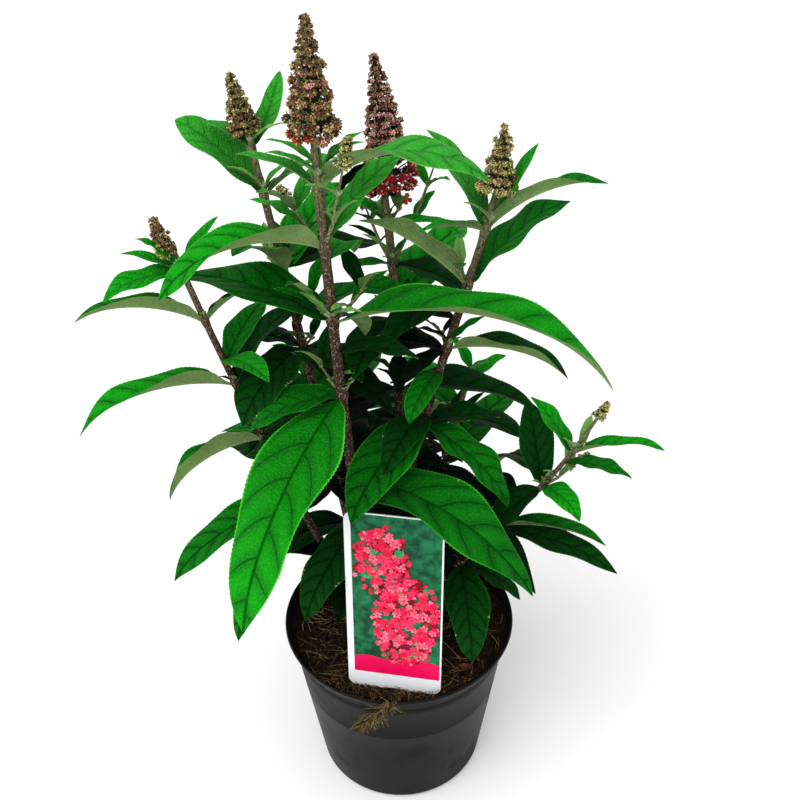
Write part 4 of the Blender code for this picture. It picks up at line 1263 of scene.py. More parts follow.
def addTufts(heap, name, mass, dice):
    # the small pale leaves that sit in the axils
    cane = canes[name]
    for i, at in enumerate(cane["nodes"]):
        if massOf(name, cane, at) != mass or at < tufts["from"] * cane["length"]:
            continue
        for half in (0, 180):
            heading = cane["first"] + 90 * (i % 2) + half
            for side in (-1, 1):
                turn = heading + side * dice.uniform(*tufts["apart"])
                length, rise = dice.uniform(*tufts["lengths"]), dice.uniform(*tufts["rise"])
                sizes = length, rise, tufts["droop"], tufts["width"]
                leaf = makeLeaf(cane, at + tufts["clear"], turn, *sizes)
                addLeaf(heap, leaf, *youngFinish(leaf), dice)


leafDice = random.Random(growth["seed"] + 2)
triangles = 0
for mass, grown in masses.items():
    heap = newHeap()
    for leaf in grown["leaves"]:
        addLeaf(heap, leaf, *leafFinishOf(leaf), leafDice)
    for leaf in grown["youngLeaves"]:
        addLeaf(heap, leaf, *youngFinish(leaf), leafDice)
    addTufts(heap, mass.split("_")[0], mass, leafDice)
    name = mass.replace("_foliage", "_leaves")
    piece = makePiece(heap, name, leafUsed, [mass], 50, ("leafPlace", "leafFacts"))
    triangles += triangleCount(piece)
print("leaves made:", triangles, "triangles")


# canes and side shoots
bark = {
    "sides": 20,
    "step": 0.0013,
    "relief": 0.055,  # share of the radius
    "square": 0.035,
    "ridges": (2.2, 150, 2.3),  # how fine they are around and along, and the finer ones to them
    "sunk": 0.003,
    "youngFrom": 0.55,
    "youngLate": 3.6,
    "shootSides": 8,
    "shootStep": 0.002,
}


def limbSkin(heap, points, ways, radii, youth, sides, seed):
    turns = np.linspace(0, math.tau, sides, endpoint=False)
    run = np.concatenate([[0], np.cumsum(np.linalg.norm(np.diff(points, axis=0), axis=1))])
    around, along, finer = bark["ridges"]
    rough = []
    for i, radius in enumerate(radii):
        row = []
        for turn in turns:
            spot = Vector((math.cos(turn) * around + seed, math.sin(turn) * around, run[i] * along))
            ridge = noise.noise(spot) + 0.5 * noise.noise(spot * finer)
            row.append(radius * (1 + bark["relief"] * ridge + bark["square"] * math.cos(4 * turn)))
        rough.append(row)
    rings = ringsAlong(points, ways, np.array(rough), sides)
    place = stacked(run[:, None] + seed, turns * np.mean(radii), 0.0)
    facts = stacked(np.array(youth)[:, None], np.zeros(sides), 0.0)
    addSkin(heap, rings, points[0], points[-1], 0, place, facts)


for number, (name, cane) in enumerate(canes.items()):
    heap = newHeap()
    count = round((cane["length"] + bark["sunk"]) / bark["step"])
    marks = np.linspace(0, cane["length"], count)
    points, ways = (np.array(found) for found in zip(*(onPath(cane, at) for at in marks)))
    points[0] -= ways[0] * bark["sunk"]
    radii = [caneRadius(cane, at) for at in marks]
    young = np.clip((marks / cane["length"] - bark["youngFrom"]) / (1 - bark["youngFrom"]), 0, 1)
    limbSkin(heap, points, ways, radii, young ** bark["youngLate"], bark["sides"], number)
    for mass in massSpans(name, cane):
        for k, shoot in enumerate(masses[mass]["shoots"]):
            steps = max(6, round(shoot["length"] / bark["shootStep"]))
            spots = (onPath(shoot, at) for at in np.linspace(0, shoot["length"], steps))
            points, ways = (np.array(found) for found in zip(*spots))
            thin = np.linspace(*twig["radii"], steps)
            limbSkin(heap, points, ways, thin, np.ones(steps), bark["shootSides"], number + 0.1 * k)
    facts = ("limbPlace", "limbFacts")
    makePiece(heap, name + "_cane", ["bark"], [name + "_bough"], 60, facts)
print("canes made")


# flower spikes
spikeShape = {
    "swell": 1.14,
    "taper": 0.90,
    "cluster": (0.0016, 0.0026),  # least radius, and what the fullest tier adds
    "fullest": 0.016,
    "tipRadius": 0.0026,
    "spacing": 1.60,  # from tier to tier, and round a tier, in cluster radii
    "broad": (0.90, 1.08),
    "ragged": (0.86, 1.18),
    "sizes": (0.86, 1.14),
    "loose": (0.10, 0.0008),
    "squash": 0.26,
    "rising": 0.35,
    "core": (0.46, 8),  # share of the radius, and its sides
    "heart": 0.70,
    "budLength": 0.0028,
    "budWidth": 0.00080,
    "budSides": 4,
    "budRings": ((0.12, 0.62), (0.48, 1.0), (0.80, 0.78)),  # how far along, and how wide
    "budTurn": 2.39996,  # the golden angle
    "budOut": (0.80, 1.18),
    "cover": 0.50,
    "alike": 0.45,
    "lit": 0.12,
    "cap": 112,
    "bracts": 3,
    "bractWidth": 0.0004,
    "branch": (0.007, 0.0012, 0.0007),  # how far it drops and bows, and its radius
}
budUsed = list(budColours)
# the finishes dealt out to each spike's buds; "low" is the share of it that has lowTips, "from" and "to"
# are where it begins and ends, in its own lengths, and "shift" and "tilt" move it in x
plainLook = {"shift": 0.0, "tilt": 0.0, "finer": 1.0, "gaps": 0.0, "core": 1.0}
spikeLooks = {
    "middle": {
        **plainLook,
        "calyxes": ("budOlive", "budBrown", "budDark"),
        "tips": ("budMauve", "budBrown", "budOlive", "budMauve", "budKhaki", "budBrown", "budPink"),
        "lowTips": ("budOrange", "budCrimson", "budOrange", "budKhaki"),
        "low": 0.11, "from": 0.12, "to": 1.00, "swell": 1.02, "shift": -0.001, "tilt": 0.02,
    },
    "back": {
        **plainLook,
        "calyxes": ("budMaroon", "budMaroon", "budDark"),
        "tips": ("budPink", "budMauve", "budPink", "budMaroon", "budMauve"),
        "lowTips": ("budCrimson", "budCrimson", "budPink"),
        "low": 0.36, "from": 0.06, "to": 0.98, "swell": 1.04, "shift": 0.0065,
        "finer": 0.9, "gaps": 0.20, "core": 0.70,
    },
    "right": {
        **plainLook,
        "calyxes": ("budOlive", "budOlive", "budBrown"),
        "tips": ("budKhaki", "budYellow", "budMauve", "budYellow", "budOlive", "budKhaki"),
        "lowTips": ("budKhaki", "budYellow"),
        "low": 0.10, "from": 0.18, "to": 1.02, "swell": 1.20, "shift": 0.001, "tilt": -0.15,
    },
    "leftmid": {
        **plainLook,
        "calyxes": ("budOlive", "budBrown", "budDark"),
        "tips": ("budKhaki", "budMauve", "budBrown", "budYellow", "budOlive"),
        "lowTips": ("budKhaki", "budMauve"),
        "low": 0.10, "from": 0.10, "to": 1.00, "swell": 1.15, "shift": -0.001, "tilt": -0.02, "finer": 0.9,
    },
    "farleft": {
        **plainLook,
        "calyxes": ("budOlive", "budBrown"),
        "tips": ("budKhaki", "budBrown", "budKhaki", "budMauve"),
        "lowTips": ("budYellow", "budYellow", "budOlive"),
        "low": 0.35, "from": -0.20, "to": 0.85, "swell": 1.15, "shift": -0.004, "finer": 0.8,
    },
    "young": {
        **plainLook,
        "calyxes": ("budOlive", "budYellow"),
        "tips": ("budYellow", "budKhaki", "budYellow"),
        "lowTips": ("budYellow", "budFelt"),
        "low": 0.25, "from": 0.80, "to": 1.56, "swell": 1.15, "finer": 0.7,
    },
}


def squareTo(way):
    across = unit(np.cross(way, (0.3, 0.9, 0.2)))
    return across, np.cross(way, across)


def addRound(heap, spots, way, radii, sides, finish):
    # a closed skin of round rings about one straight line
    rings = ringsAlong(spots, [way] * len(spots), radii, sides)
    addSkin(heap, rings, spots[0], spots[-1], budUsed.index(finish))


def addStrand(heap, points, radius, finish, sides=3):
    points = np.array(points)
    ways = np.gradient(points, axis=0)
    ways = ways / np.linalg.norm(ways, axis=1)[:, None]
    radii = radius * (1 - 0.5 * np.linspace(0, 1, len(points)))
    rings, across = [], squareTo(ways[0])[0]
    for at, way, size in zip(points, ways, radii):
        across = unit(across - way * across.dot(way))
        rings.append(at + circle(across, np.cross(way, across), sides) * size)
    addSkin(heap, np.array(rings), points[0], points[-1], finish)


def addBud(heap, foot, way, length, width, calyx, tip):
    around = circle(*squareTo(way), spikeShape["budSides"])
    rings = [
        foot + way * length * share + around * width * size for share, size in spikeShape["budRings"]
    ]
    finish = np.array([[budUsed.index(calyx)], [budUsed.index(tip)]])
    addSkin(heap, np.array(rings), foot, foot + way * length, finish)


def addCluster(heap, centre, way, axis, radius, calyxes, tips, dice):
    heart = radius * spikeShape["heart"]
    spots = np.array([centre + way * heart * rise for rise in (-0.8, 0.0, 0.8)])
    # a dark heart inside the cluster, painted shade seen through the gaps between its buds
    addRound(heap, spots, way, np.array([0.7, 1.0, 0.7]) * heart, 6, "budDark")
    across, other = squareTo(way)
    least = math.cos(math.radians(spikeShape["cap"]))
    width = spikeShape["budWidth"] * min(1.0, 0.5 + radius / 0.007)
    count = max(6, round(spikeShape["cover"] * 2 * radius**2 * (1 - least) / width**2))
    spin, main = dice.uniform(0, math.tau), dice.choice(tips)
    for k in range(count):
        rise = 1 - (1 - least) * (k + 0.5) / count
        level = math.sqrt(1 - rise * rise)
        budWay = way * rise + spun(across, other, spin + spikeShape["budTurn"] * k) * level
        budWay = budWay - axis * (budWay.dot(axis) * spikeShape["squash"])
        length = min(0.8 * radius, spikeShape["budLength"]) * dice.uniform(0.8, 1.2)
        foot = centre + budWay * (radius * dice.uniform(*spikeShape["budOut"]) - length)
        tip = main if dice.random() < spikeShape["alike"] else dice.choice(tips)
        # buds that face away from the cluster's outward side take calyx colours, a painted shade on the
        # cluster's sides
        tip = tip if rise > spikeShape["lit"] else dice.choice(calyxes)
        wide = width * dice.uniform(0.75, 1.2)
        addBud(heap, foot, budWay, length, wide, dice.choice(calyxes), tip)
    for k in range(spikeShape["bracts"]):
        lean = unit(way * 0.35 + spun(across, other, dice.uniform(0, math.tau)))
        foot, length = centre + lean * radius * 0.4, radius * dice.uniform(0.8, 1.1)
        addBud(heap, foot, lean, length, spikeShape["bractWidth"], "budOlive", "budOlive")


def spikeTiers(span, radius, finer):
    # how far up each tier stands, how wide it is and how large its clusters are
    least, more = spikeShape["cluster"]
    tip = min(spikeShape["tipRadius"], 0.38 * radius)
    tiers, rise = [], 0.0
    while rise < span - 0.0012:
        full = tip + (radius - tip) * (1 - rise / span) ** spikeShape["taper"]
        cluster = finer * min(0.60 * full, least + more * full / spikeShape["fullest"])
        tiers.append((rise + 0.4 * cluster, full, cluster))
        rise += spikeShape["spacing"] * cluster
    return tiers


def addSpike(heap, spike, look, girth, dice):
    foot, up, length, radius = spike
    way = unit(up + np.array([look["tilt"], 0, 0]))
    start = foot + way * length * look["from"] + np.array([look["shift"], 0, 0])
    span = length * (look["to"] - look["from"])
    across, other = squareTo(way)
    radius = radius * spikeShape["swell"] * look["swell"]
    airy = look is spikeLooks["back"]  # its low clusters hang on bare branches
    neck = [start + way * span * share for share in (0.0, 0.2, 0.4)]
    if look["from"] > 0:
        neck = [foot - up * 0.004, foot, foot + (start - foot) * 0.5] + neck
    addStrand(heap, neck, girth, budUsed.index("budStem"), 10)
    # a dark core down the spike, painted shade seen between its clusters
    share, sides = spikeShape["core"]
    spots = np.array([start + way * span * s for s in ((0.30 if airy else 0.04), 0.4, 0.7, 0.96)])
    core = np.array([radius * share * (1.0 - 0.8 * k / 3) for k in range(4)]) * look["core"]
    addRound(heap, spots, way, core, sides, "budMaroon" if airy else "budDark")
    swing, stray = spikeShape["loose"]
    drop, bow, thin = spikeShape["branch"]
    for i, (rise, full, cluster) in enumerate(spikeTiers(span, radius, look["finer"])):
        count = max(3, round(math.tau * max(full - cluster, 0.0012) / (spikeShape["spacing"] * cluster)))
        broad = full * dice.uniform(*spikeShape["broad"])
        for k in range(count):
            outward = spun(across, other, about(dice, math.tau * (k + 0.5 * (i % 2)) / count, swing))
            size = cluster * dice.uniform(*spikeShape["sizes"])
            centre = start + way * about(dice, rise, stray)
            centre = centre + outward * max(0.0, broad * dice.uniform(*spikeShape["ragged"]) - size)
            low = rise < look["low"] * span and (airy or outward[0] < 0.35)
            if low and dice.random() < look["gaps"]:
                continue
            if airy and low:
                fork = start + way * (rise - drop)
                branch = [fork, fork + (centre - fork) * 0.5 + way * bow, centre]
                addStrand(heap, branch, thin, budUsed.index("budDark"), 4)
            tips = look["lowTips"] if low else look["tips"]
            facing = unit(outward + way * spikeShape["rising"])
            addCluster(heap, centre, facing, way, size, look["calyxes"], tips, dice)
    size = min(spikeShape["tipRadius"], radius * 0.4)
    addCluster(heap, start + way * (span - 0.0018), way, across, size, look["calyxes"], look["tips"], dice)


def addFeltBud(heap, shoot, dice):
    size = twig["bud"]
    centre, way = shoot["path"][-1], shoot["ways"][-1]
    across, other = squareTo(way)
    foot = centre - way * size * 0.8
    for k in range(4):
        lean = unit(way + spun(across, other, math.tau * k / 4 + 0.4) * 0.35)
        addBud(heap, foot, lean, size * dice.uniform(2.2, 2.6), size * 0.5, "budFelt", "budFelt")


blossom = {
    "beside": (0.0150, -0.0050, 0.0000),
    "facing": (0.35, -0.75, 0.55),
    "petal": 0.0044,
    "lobe": ((0.10, 0.0006), (0.40, 0.0015), (0.72, 0.0019), (0.94, 0.0011)),  # how far out, how wide
    "thick": 0.00022,
    "tube": 0.007,
}


def addBlossom(heap, foot, up):
    # the one open flower, four lobes on a narrow tube, and its stalk
    centre = foot + np.array(blossom["beside"])
    way = unit(np.array(blossom["facing"]))
    across, other = squareTo(way)
    turns = np.linspace(0, math.tau, 6, endpoint=False)
    for k in range(4):
        out = unit(spun(across, other, math.tau * k / 4 + 0.4) + way * 0.22)
        wide = unit(np.cross(way, out))
        thin = np.cross(out, wide)
        rings = np.array([
            centre + out * blossom["petal"] * share + np.outer(np.cos(turns), wide) * half
            + np.outer(np.sin(turns), thin) * blossom["thick"]
            for share, half in blossom["lobe"]
        ])
        addSkin(heap, rings, centre, centre + out * blossom["petal"], budUsed.index("petalRed"))
    back = centre - way * blossom["tube"]
    low = foot - up * 0.012
    for points, radius, finish, sides in (
        ([centre + way * 0.0004, centre - way * 0.003, back], 0.0009, "budCrimson", 6),
        ([centre + way * rise for rise in (0.0002, 0.0006, 0.0010)], 0.0007, "budYellow", 6),
        ([low, (low + back) / 2 + up * 0.002, back], 0.0006, "budDark", 4),
    ):
        addStrand(heap, points, radius, budUsed.index(finish), sides)


spikeDice = random.Random(growth["seed"] + 3)
budCount = 0
for name, cane in canes.items():
    heap = newHeap()
    for mass in massSpans(name, cane):
        for spike in masses[mass]["spikes"]:
            main = cane["spike"] and spike[2:] == cane["spike"]
            look = spikeLooks[name if main and name in spikeLooks else "young"]
            girth = caneRadius(cane, cane["length"]) if main else twig["radii"][1]
            addSpike(heap, spike, look, girth * 0.97, spikeDice)
            if main and name == "back":
                addBlossom(heap, *spike[:2])
        for shoot in masses[mass]["shoots"]:
            addFeltBud(heap, shoot, spikeDice)
    if heap["points"]:
        piece = makePiece(heap, name + "_buds", budUsed, (), 50)
        budCount += triangleCount(piece)
print("spikes made:", budCount, "triangles")


# pot
plastic = {
    "black": (0.0055, 0.0052, 0.0049),
    "dust": (0.012, 0.0108, 0.0098),
    "scuff": (0.019, 0.017, 0.0155),
    "roughness": (0.42, 0.62),
}


def plasticFinish():
    made, tree, shader = newFinish("potPlastic", 0.50, 0.07)
    place = objectPlace(tree)
    dust = ease(tree, cloudy(tree, place, 22, 5.0), 0.45, 0.75, 0.0, 0.5)
    scuff = cloudy(tree, stretched(tree, place, (1, 1, 7)), 60, 3.0)
    body = mixed(tree, dust, plastic["black"], plastic["dust"])
    body = mixed(tree, ease(tree, scuff, 0.58, 0.72, 0.0, 0.35), body, plastic["scuff"])
    tree.links.new(body, shader.inputs["Base Color"])
    tree.links.new(ease(tree, dust, 0.0, 0.5, *plastic["roughness"]), shader.inputs["Roughness"])
    relief(tree, shader, cloudy(tree, place, 1400, 2.0), 0.00008, 0.8)
    return made


def finishMesh(piece, name, finishName, sharp=35):
    bpy.ops.object.mode_set(mode="EDIT")
    bpy.ops.mesh.select_all(action="SELECT")
    bpy.ops.mesh.normals_make_consistent(inside=False)
    bpy.ops.object.mode_set(mode="OBJECT")
    bpy.ops.object.transform_apply(location=True, rotation=True, scale=True)
    bpy.ops.object.shade_smooth_by_angle(angle=math.radians(sharp))
    piece.name = name
    piece.data.name = name
    piece.data.materials.clear()
    piece.data.materials.append(finishes[finishName])
    return piece


potLook = {
    "ledge": 0.0002,
    "groove": 0.1368,
    # heights on the side and how far out, with one faint mould line
    "side": (
        (0.030, 0), (0.060, 0), (0.0925, 0), (0.0930, 0.00012), (0.0935, 0), (0.110, 0), (0.1262, 0),
    ),
    # how far out and up the groove's sides are
    "grooved": ((0.0009, -0.0006), (0.0006, 0), (0.0012, 0.0006)),
    # out from the rim and up from the top
    "lip": (
        (-0.0012, -0.0034), (-0.0003, -0.0027), (0, -0.0017), (-0.0002, -0.0006), (-0.0006, 0),
        (-0.0013, -0.0002),
    ),
}


def potProfile():
    corner, base, step, wall = pot["corner"], pot["base"], pot["step"], pot["wall"]
    body, foot, ledge, groove = pot["body"], pot["bandFoot"], potLook["ledge"], potLook["groove"]
    points = []
    for k in range(7):  # rounded foot
        turn = math.radians(-90 + 15 * k)
        points.append((base - corner + corner * math.cos(turn), corner + corner * math.sin(turn)))
    taper = (body - ledge - base) / (foot - corner)
    points += [(base + taper * (height - corner) + out, height) for height, out in potLook["side"]]
    points += [
        (body - ledge + 0.0001, foot - 0.0008),
        (body - ledge * 0.4, foot - 0.0003),
        (body + ledge * 0.7, foot + 0.0002),
        (body + ledge, foot + 0.0010),
    ]
    points += [(body + ledge + out, groove + up) for out, up in potLook["grooved"]]
    points += [(pot["rim"] + out, pot["height"] + up) for out, up in potLook["lip"]]
    return points + [
        (pot["rim"] - wall - 0.0003, pot["height"] - 0.0012),
        (body + step - wall, foot + 0.0030),
        (body - step - wall, foot - 0.0010),
        (base - wall, corner + 0.002),
        (base - corner, pot["floor"]),
    ]


def drawUp(rings, x=0, y=0):
    # what is selected is drawn up from ring to ring, a step and a resize at a time
    for (size, height), (wider, higher) in zip(rings, rings[1:]):
        bpy.ops.mesh.extrude_region_move(TRANSFORM_OT_translate={"value": (0, 0, higher - height)})
        scale = wider / size
        bpy.ops.transform.resize(value=(scale, scale, 1), center_override=(x, y, higher))


def raiseRings(profile):
    # a filled circle drawn up through the profile
    radius, height = profile[0]
    bpy.ops.mesh.primitive_circle_add(
        vertices=pot["sides"], radius=radius, fill_type="NGON", location=(0, 0, height)
    )
    piece = bpy.context.object
    bpy.ops.object.mode_set(mode="EDIT")
    bpy.ops.mesh.select_all(action="SELECT")
    drawUp(profile)
    return piece


finishes["potPlastic"] = plasticFinish()
settle(finishMesh(raiseRings(potProfile()), "potShell", "potPlastic", 40), ["pot"])
print("pot made")


# soil, crumbs, straw and the tuft over the rim
bed = {
    "edge": 0.0900,
    "rings": 54,
    "swell": (0.0034, 42),  # height, and how fine the noise is
    "grain": (0.0013, 230),
    "mound": (-0.012, -0.0905, 0.022, 0.012, 0.0085),  # x, y, width, depth and height, under the tuft
    "crown": (0.045, 0.004),  # radius and height round the canes
    "reach": 0.086,
}
crumbs = {
    "count": 900,
    "size": (0.0008, 0.0019),
    "stretch": (0.6, 1.4),
    "uneven": (0.75, 1.2),
    "rings": ((-0.45, 0.75), (0.35, 0.85)),  # height and width, in sizes
    "ends": (0.9, 0.85),
    "chip": ((0.052, -0.050), 0.0022, (0.0062, 0.0045, 0.0028)),  # place, lift and size of the bark chip
}
straws = {
    "count": 1700,
    "length": (0.006, 0.024),
    "radius": (0.00016, 0.00056),
    "front": ((0.066, 0.087), (-1.65, 0.55)),  # how far out many lie, and their heading and its spread
    "limit": 0.0885,
    "joints": 5,
    "bend": 0.5,
    "ends": ((-0.0002, 0.0010), (-0.0002, 0.0045)),  # how high the two ends lie
    "lift": 0.0003,
}
tuft = {
    "count": 330,
    "line": ((-0.004, 0.1525), (-0.011, 0.150), (-0.018, 0.139), (-0.029, 0.124)),  # x and z over the rim
    # where along the line, how far off it, and how long
    "bushy": ((0.70, 1.0), 0.0028, (0.004, 0.010)),
    "plain": ((0.0, 0.85), 0.0014, (0.006, 0.015)),
    "drift": ((-0.55, 0.75), (-0.12, 0.22), (-0.75, 0.6)),  # heading in x, y and z, and its spread
    "radius": (0.00018, 0.00045),
    "crumb": (0.0006, 0.0014),
    "rootlets": 110,
    "rootletRadius": (0.0002, 0.00045),
}


def earthFinish(name, dark, brown, pale, scale):
    made, tree, shader = newFinish(name, 0.95, 0.08)
    place = objectPlace(tree)
    lumps = cloudy(tree, place, scale, 5.0, 0.7)
    body = mixed(tree, ease(tree, lumps, 0.40, 0.62), dark, brown)
    flecks = ease(tree, cells(tree, place, scale * 4.2), 0.0, 0.30, 1.0, 0.0)
    some = ease(tree, cloudy(tree, place, scale * 2.0), 0.52, 0.62)
    body = mixed(tree, times(tree, flecks, times(tree, some, 0.7)), body, pale)
    tree.links.new(body, shader.inputs["Base Color"])
    height = calc(tree, "ADD", lumps, times(tree, cloudy(tree, place, scale * 6), 0.6))
    relief(tree, shader, height, 0.0012, 0.9)
    return made


earthFinishes = {
    # name: dark, brown, pale, lumps to the metre
    "peat": ((0.004, 0.003, 0.002), (0.022, 0.012, 0.007), (0.15, 0.10, 0.055), 140),
    "crumb": ((0.008, 0.005, 0.003), (0.045, 0.024, 0.013), (0.22, 0.15, 0.09), 400),
    "straw": ((0.15, 0.092, 0.040), (0.36, 0.250, 0.120), (0.62, 0.50, 0.30), 500),
    "root": ((0.014, 0.008, 0.005), (0.052, 0.028, 0.015), (0.13, 0.08, 0.04), 500),
    "moss": ((0.040, 0.036, 0.012), (0.150, 0.120, 0.040), (0.36, 0.29, 0.13), 500),
    "chip": ((0.10, 0.030, 0.014), (0.20, 0.065, 0.030), (0.30, 0.13, 0.07), 220),
    "oldWood": ((0.050, 0.032, 0.022), (0.150, 0.100, 0.065), (0.28, 0.22, 0.16), 170),
}
for name, row in earthFinishes.items():
    finishes[name] = earthFinish(name, *row)


def soilHeight(x, y):
    (swell, wide), (grain, fine) = bed["swell"], bed["grain"]
    high = swell * noise.fractal(Vector((x * wide + 3, y * wide, 0.4)), 1.0, 2.1, 3) * 0.5
    high += grain * noise.fractal(Vector((x * fine, y * fine, 7.7)), 0.9, 2.2, 3)
    x0, y0, across, deep, tall = bed["mound"]
    high += tall * math.exp(-(((x - x0) / across) ** 2) - ((y - y0) / deep) ** 2)
    radius, tall = bed["crown"]
    high += tall * math.exp(-((math.hypot(x, y) / radius) ** 2))
    return soil["top"] + high


def makeSoil():
    wall = pot["wall"]
    profile = [
        (pot["base"] - pot["corner"], pot["floor"]),
        (pot["base"] - wall + 0.0004, pot["corner"] + 0.002),
        (pot["body"] - pot["step"] - wall + 0.0002, pot["bandFoot"] - 0.0010),
        (bed["edge"], soil["top"]),
    ]
    piece = raiseRings(profile)
    for _ in range(bed["rings"]):
        bpy.ops.mesh.inset(thickness=bed["edge"] / (bed["rings"] + 1))
    bpy.ops.mesh.poke()
    bpy.ops.object.mode_set(mode="OBJECT")
    for vertex in piece.data.vertices:
        if vertex.co.z > soil["top"] - 0.0005:
            vertex.co.z = soilHeight(vertex.co.x, vertex.co.y)
    settle(finishMesh(piece, "soilBed", "peat", 80), ["soil"])


def crumbRings(centre, size, dice):
    stretch = np.array([dice.uniform(*crumbs["stretch"]) for _ in range(3)]) * size
    turns = np.linspace(0, math.tau, 5, endpoint=False)
    rings = []
    for height, wide in crumbs["rings"]:
        ring = []
        for turn in turns + dice.uniform(0, 1):
            x, y = (way(turn) * wide * dice.uniform(*crumbs["uneven"]) for way in (math.cos, math.sin))
            ring.append((x, y, height))
        rings.append(centre + np.array(ring) * stretch)
    low, high = (np.array([0, 0, end]) * stretch for end in crumbs["ends"])
    return np.array(rings), centre - low, centre + high


def soilSpot(dice):
    away, turn = bed["reach"] * math.sqrt(dice.random()), dice.uniform(0, math.tau)
    return away * math.cos(turn), away * math.sin(turn)


def makeCrumbs():
    dice = random.Random(growth["seed"] + 4)
    heap = newHeap()
    least, more = crumbs["size"]
    for _ in range(crumbs["count"]):
        x, y = soilSpot(dice)
        size = least + more * dice.random() ** 3
        centre = np.array([x, y, soilHeight(x, y) + size * 0.2])
        addSkin(heap, *crumbRings(centre, size, dice), dice.choice((0, 0, 0, 1)))
    (x, y), lift, shape = crumbs["chip"]
    centre = np.array([x, y, soilHeight(x, y) + lift])
    chip = (centre + part * np.array(shape) for part in crumbRings(np.zeros(3), 1.0, dice))
    addSkin(heap, *chip, 2)
    makePiece(heap, "soilCrumbs", ["crumb", "root", "chip"], (), 30)


def makeStraws():
    dice = random.Random(growth["seed"] + 5)
    heap = newHeap()
    out, facing = straws["front"]
    for k in range(straws["count"]):
        x, y = soilSpot(dice)
        if k % 5 < 2:  # many lie along the front
            away, turn = dice.uniform(*out), dice.gauss(*facing)
            x, y = away * math.cos(turn), away * math.sin(turn)
        heading, length = dice.uniform(0, math.tau), dice.uniform(*straws["length"])
        bend = dice.gauss(0, straws["bend"])
        first, last = (dice.uniform(*end) for end in straws["ends"])
        points, gaps = [], straws["joints"] - 1
        for joint in range(straws["joints"]):
            if math.hypot(x, y) > straws["limit"]:
                break
            high = soilHeight(x, y) + first + (last - first) * (joint / gaps)
            points.append((x, y, high + straws["lift"]))
            heading += bend / straws["joints"]
            x += math.cos(heading) * length / gaps
            y += math.sin(heading) * length / gaps
        if len(points) > 2:
            addStrand(heap, points, dice.uniform(*straws["radius"]), dice.choice((0, 1, 1, 1)))
    makePiece(heap, "soilStraws", ["straw", "root"], (), 60)


def onTuft(share):
    line = tuft["line"]
    place = min(share * (len(line) - 1), len(line) - 1.001)
    k = int(place)
    (x, z), (x1, z1) = line[k], line[k + 1]
    x, z = x + (x1 - x) * (place - k), z + (z1 - z) * (place - k)
    return x, -math.sqrt((pot["rim"] + 0.0012) ** 2 - x * x), z


def makeTuft():
    # a trail of rootlets and moss over the front of the rim, bushy at its end
    dice = random.Random(growth["seed"] + 6)
    heap = newHeap()
    wall = pot["rim"] + 0.0004
    for k in range(tuft["count"]):
        span, spread, lengths = tuft["bushy" if k % 5 > 1 else "plain"]
        x, y, z = onTuft(dice.uniform(*span))
        start = np.array([x + dice.gauss(0, spread), y - dice.uniform(0, 0.002), z + dice.gauss(0, spread)])
        way = unit(np.array([middle + dice.gauss(0, stray) for middle, stray in tuft["drift"]]))
        length = dice.uniform(*lengths)
        points = []
        for step in range(4):
            at = start + way * length * step / 3 + np.array([0, 0, -0.0012 * (step / 3) ** 2])
            at[1] = min(at[1], -math.sqrt(max(0.0, wall**2 - at[0] ** 2)))
            points.append(at)
        addStrand(heap, points, dice.uniform(*tuft["radius"]), dice.choice((0, 0, 1, 2, 2)))
        if k % 4 == 0:
            addSkin(heap, *crumbRings(start, dice.uniform(*tuft["crumb"]), dice), dice.choice((1, 2)))
    for k in range(tuft["rootlets"]):  # they reach from the soil to the rim
        x = dice.gauss(-0.010, 0.022)
        rim = math.sqrt(pot["rim"] ** 2 - x * x)
        sway, over = dice.uniform(-0.008, 0.008), dice.uniform(-0.004, 0.004)
        points = [
            (x, -rim + 0.016, soil["top"] + 0.003),
            (x + sway * 0.5, -rim + 0.008, pot["height"] - 0.002),
            (x + sway, -rim + 0.001 - over * 0.2, pot["height"] + dice.uniform(0.0004, 0.002)),
        ]
        addStrand(heap, points, dice.uniform(*tuft["rootletRadius"]), dice.choice((0, 1, 1, 2)))
    makePiece(heap, "rimTuft", ["straw", "root", "moss"], (), 60)


makeSoil()
makeCrumbs()
makeStraws()
makeTuft()
print("soil made")


# woody stool
stool = {
    "centre": (-0.012, 0.005),
    "radii": (0.034, 0.026),
    # share of the radii, and height over the soil
    "rings": (
        (1.06, -0.004), (1.02, 0.002), (0.97, 0.007), (0.90, 0.012), (0.84, 0.016), (0.76, 0.0195),
        (0.60, 0.0205),
    ),
    "sides": 72,
    "insets": (5, 0.0026),
    "lobes": (0.05, 0.03),
    "rough": (0.05, 0.0009),
}


def makeStool():
    x0, y0 = stool["centre"]
    wide, deep = stool["radii"]
    rings = [(size, soil["top"] + height) for size, height in stool["rings"]]
    bpy.ops.mesh.primitive_circle_add(
        vertices=stool["sides"], radius=1, fill_type="NGON", location=(x0, y0, rings[0][1])
    )
    piece = bpy.context.object
    piece.scale = (wide, deep, 1)
    bpy.ops.object.transform_apply(location=True, rotation=True, scale=True)
    bpy.ops.object.mode_set(mode="EDIT")
    bpy.ops.mesh.select_all(action="SELECT")
    drawUp(rings, x0, y0)
    count, thickness = stool["insets"]
    for _ in range(count):
        bpy.ops.mesh.inset(thickness=thickness)
    bpy.ops.mesh.poke()
    bpy.ops.object.mode_set(mode="OBJECT")
    (five, eight), (rough, sawn) = stool["lobes"], stool["rough"]
    for vertex in piece.data.vertices:
        x, y, z = vertex.co.x - x0, vertex.co.y - y0, vertex.co.z
        turn = math.atan2(y / deep, x / wide)
        bump = 1 + five * math.cos(5 * turn + 1) + eight * math.cos(8 * turn)
        bump += rough * noise.fractal(Vector((math.cos(turn) * 4, math.sin(turn) * 4, z * 60)), 1.0, 2.0, 3)
        vertex.co.x = x0 + x * bump
        vertex.co.y = y0 + y * bump
        if z > soil["top"] + 0.018:
            vertex.co.z -= sawn * abs(noise.noise(Vector((x * 160, y * 160, 2.0))))
    settle(finishMesh(piece, "woodyStool", "oldWood", 60), ["stool"])


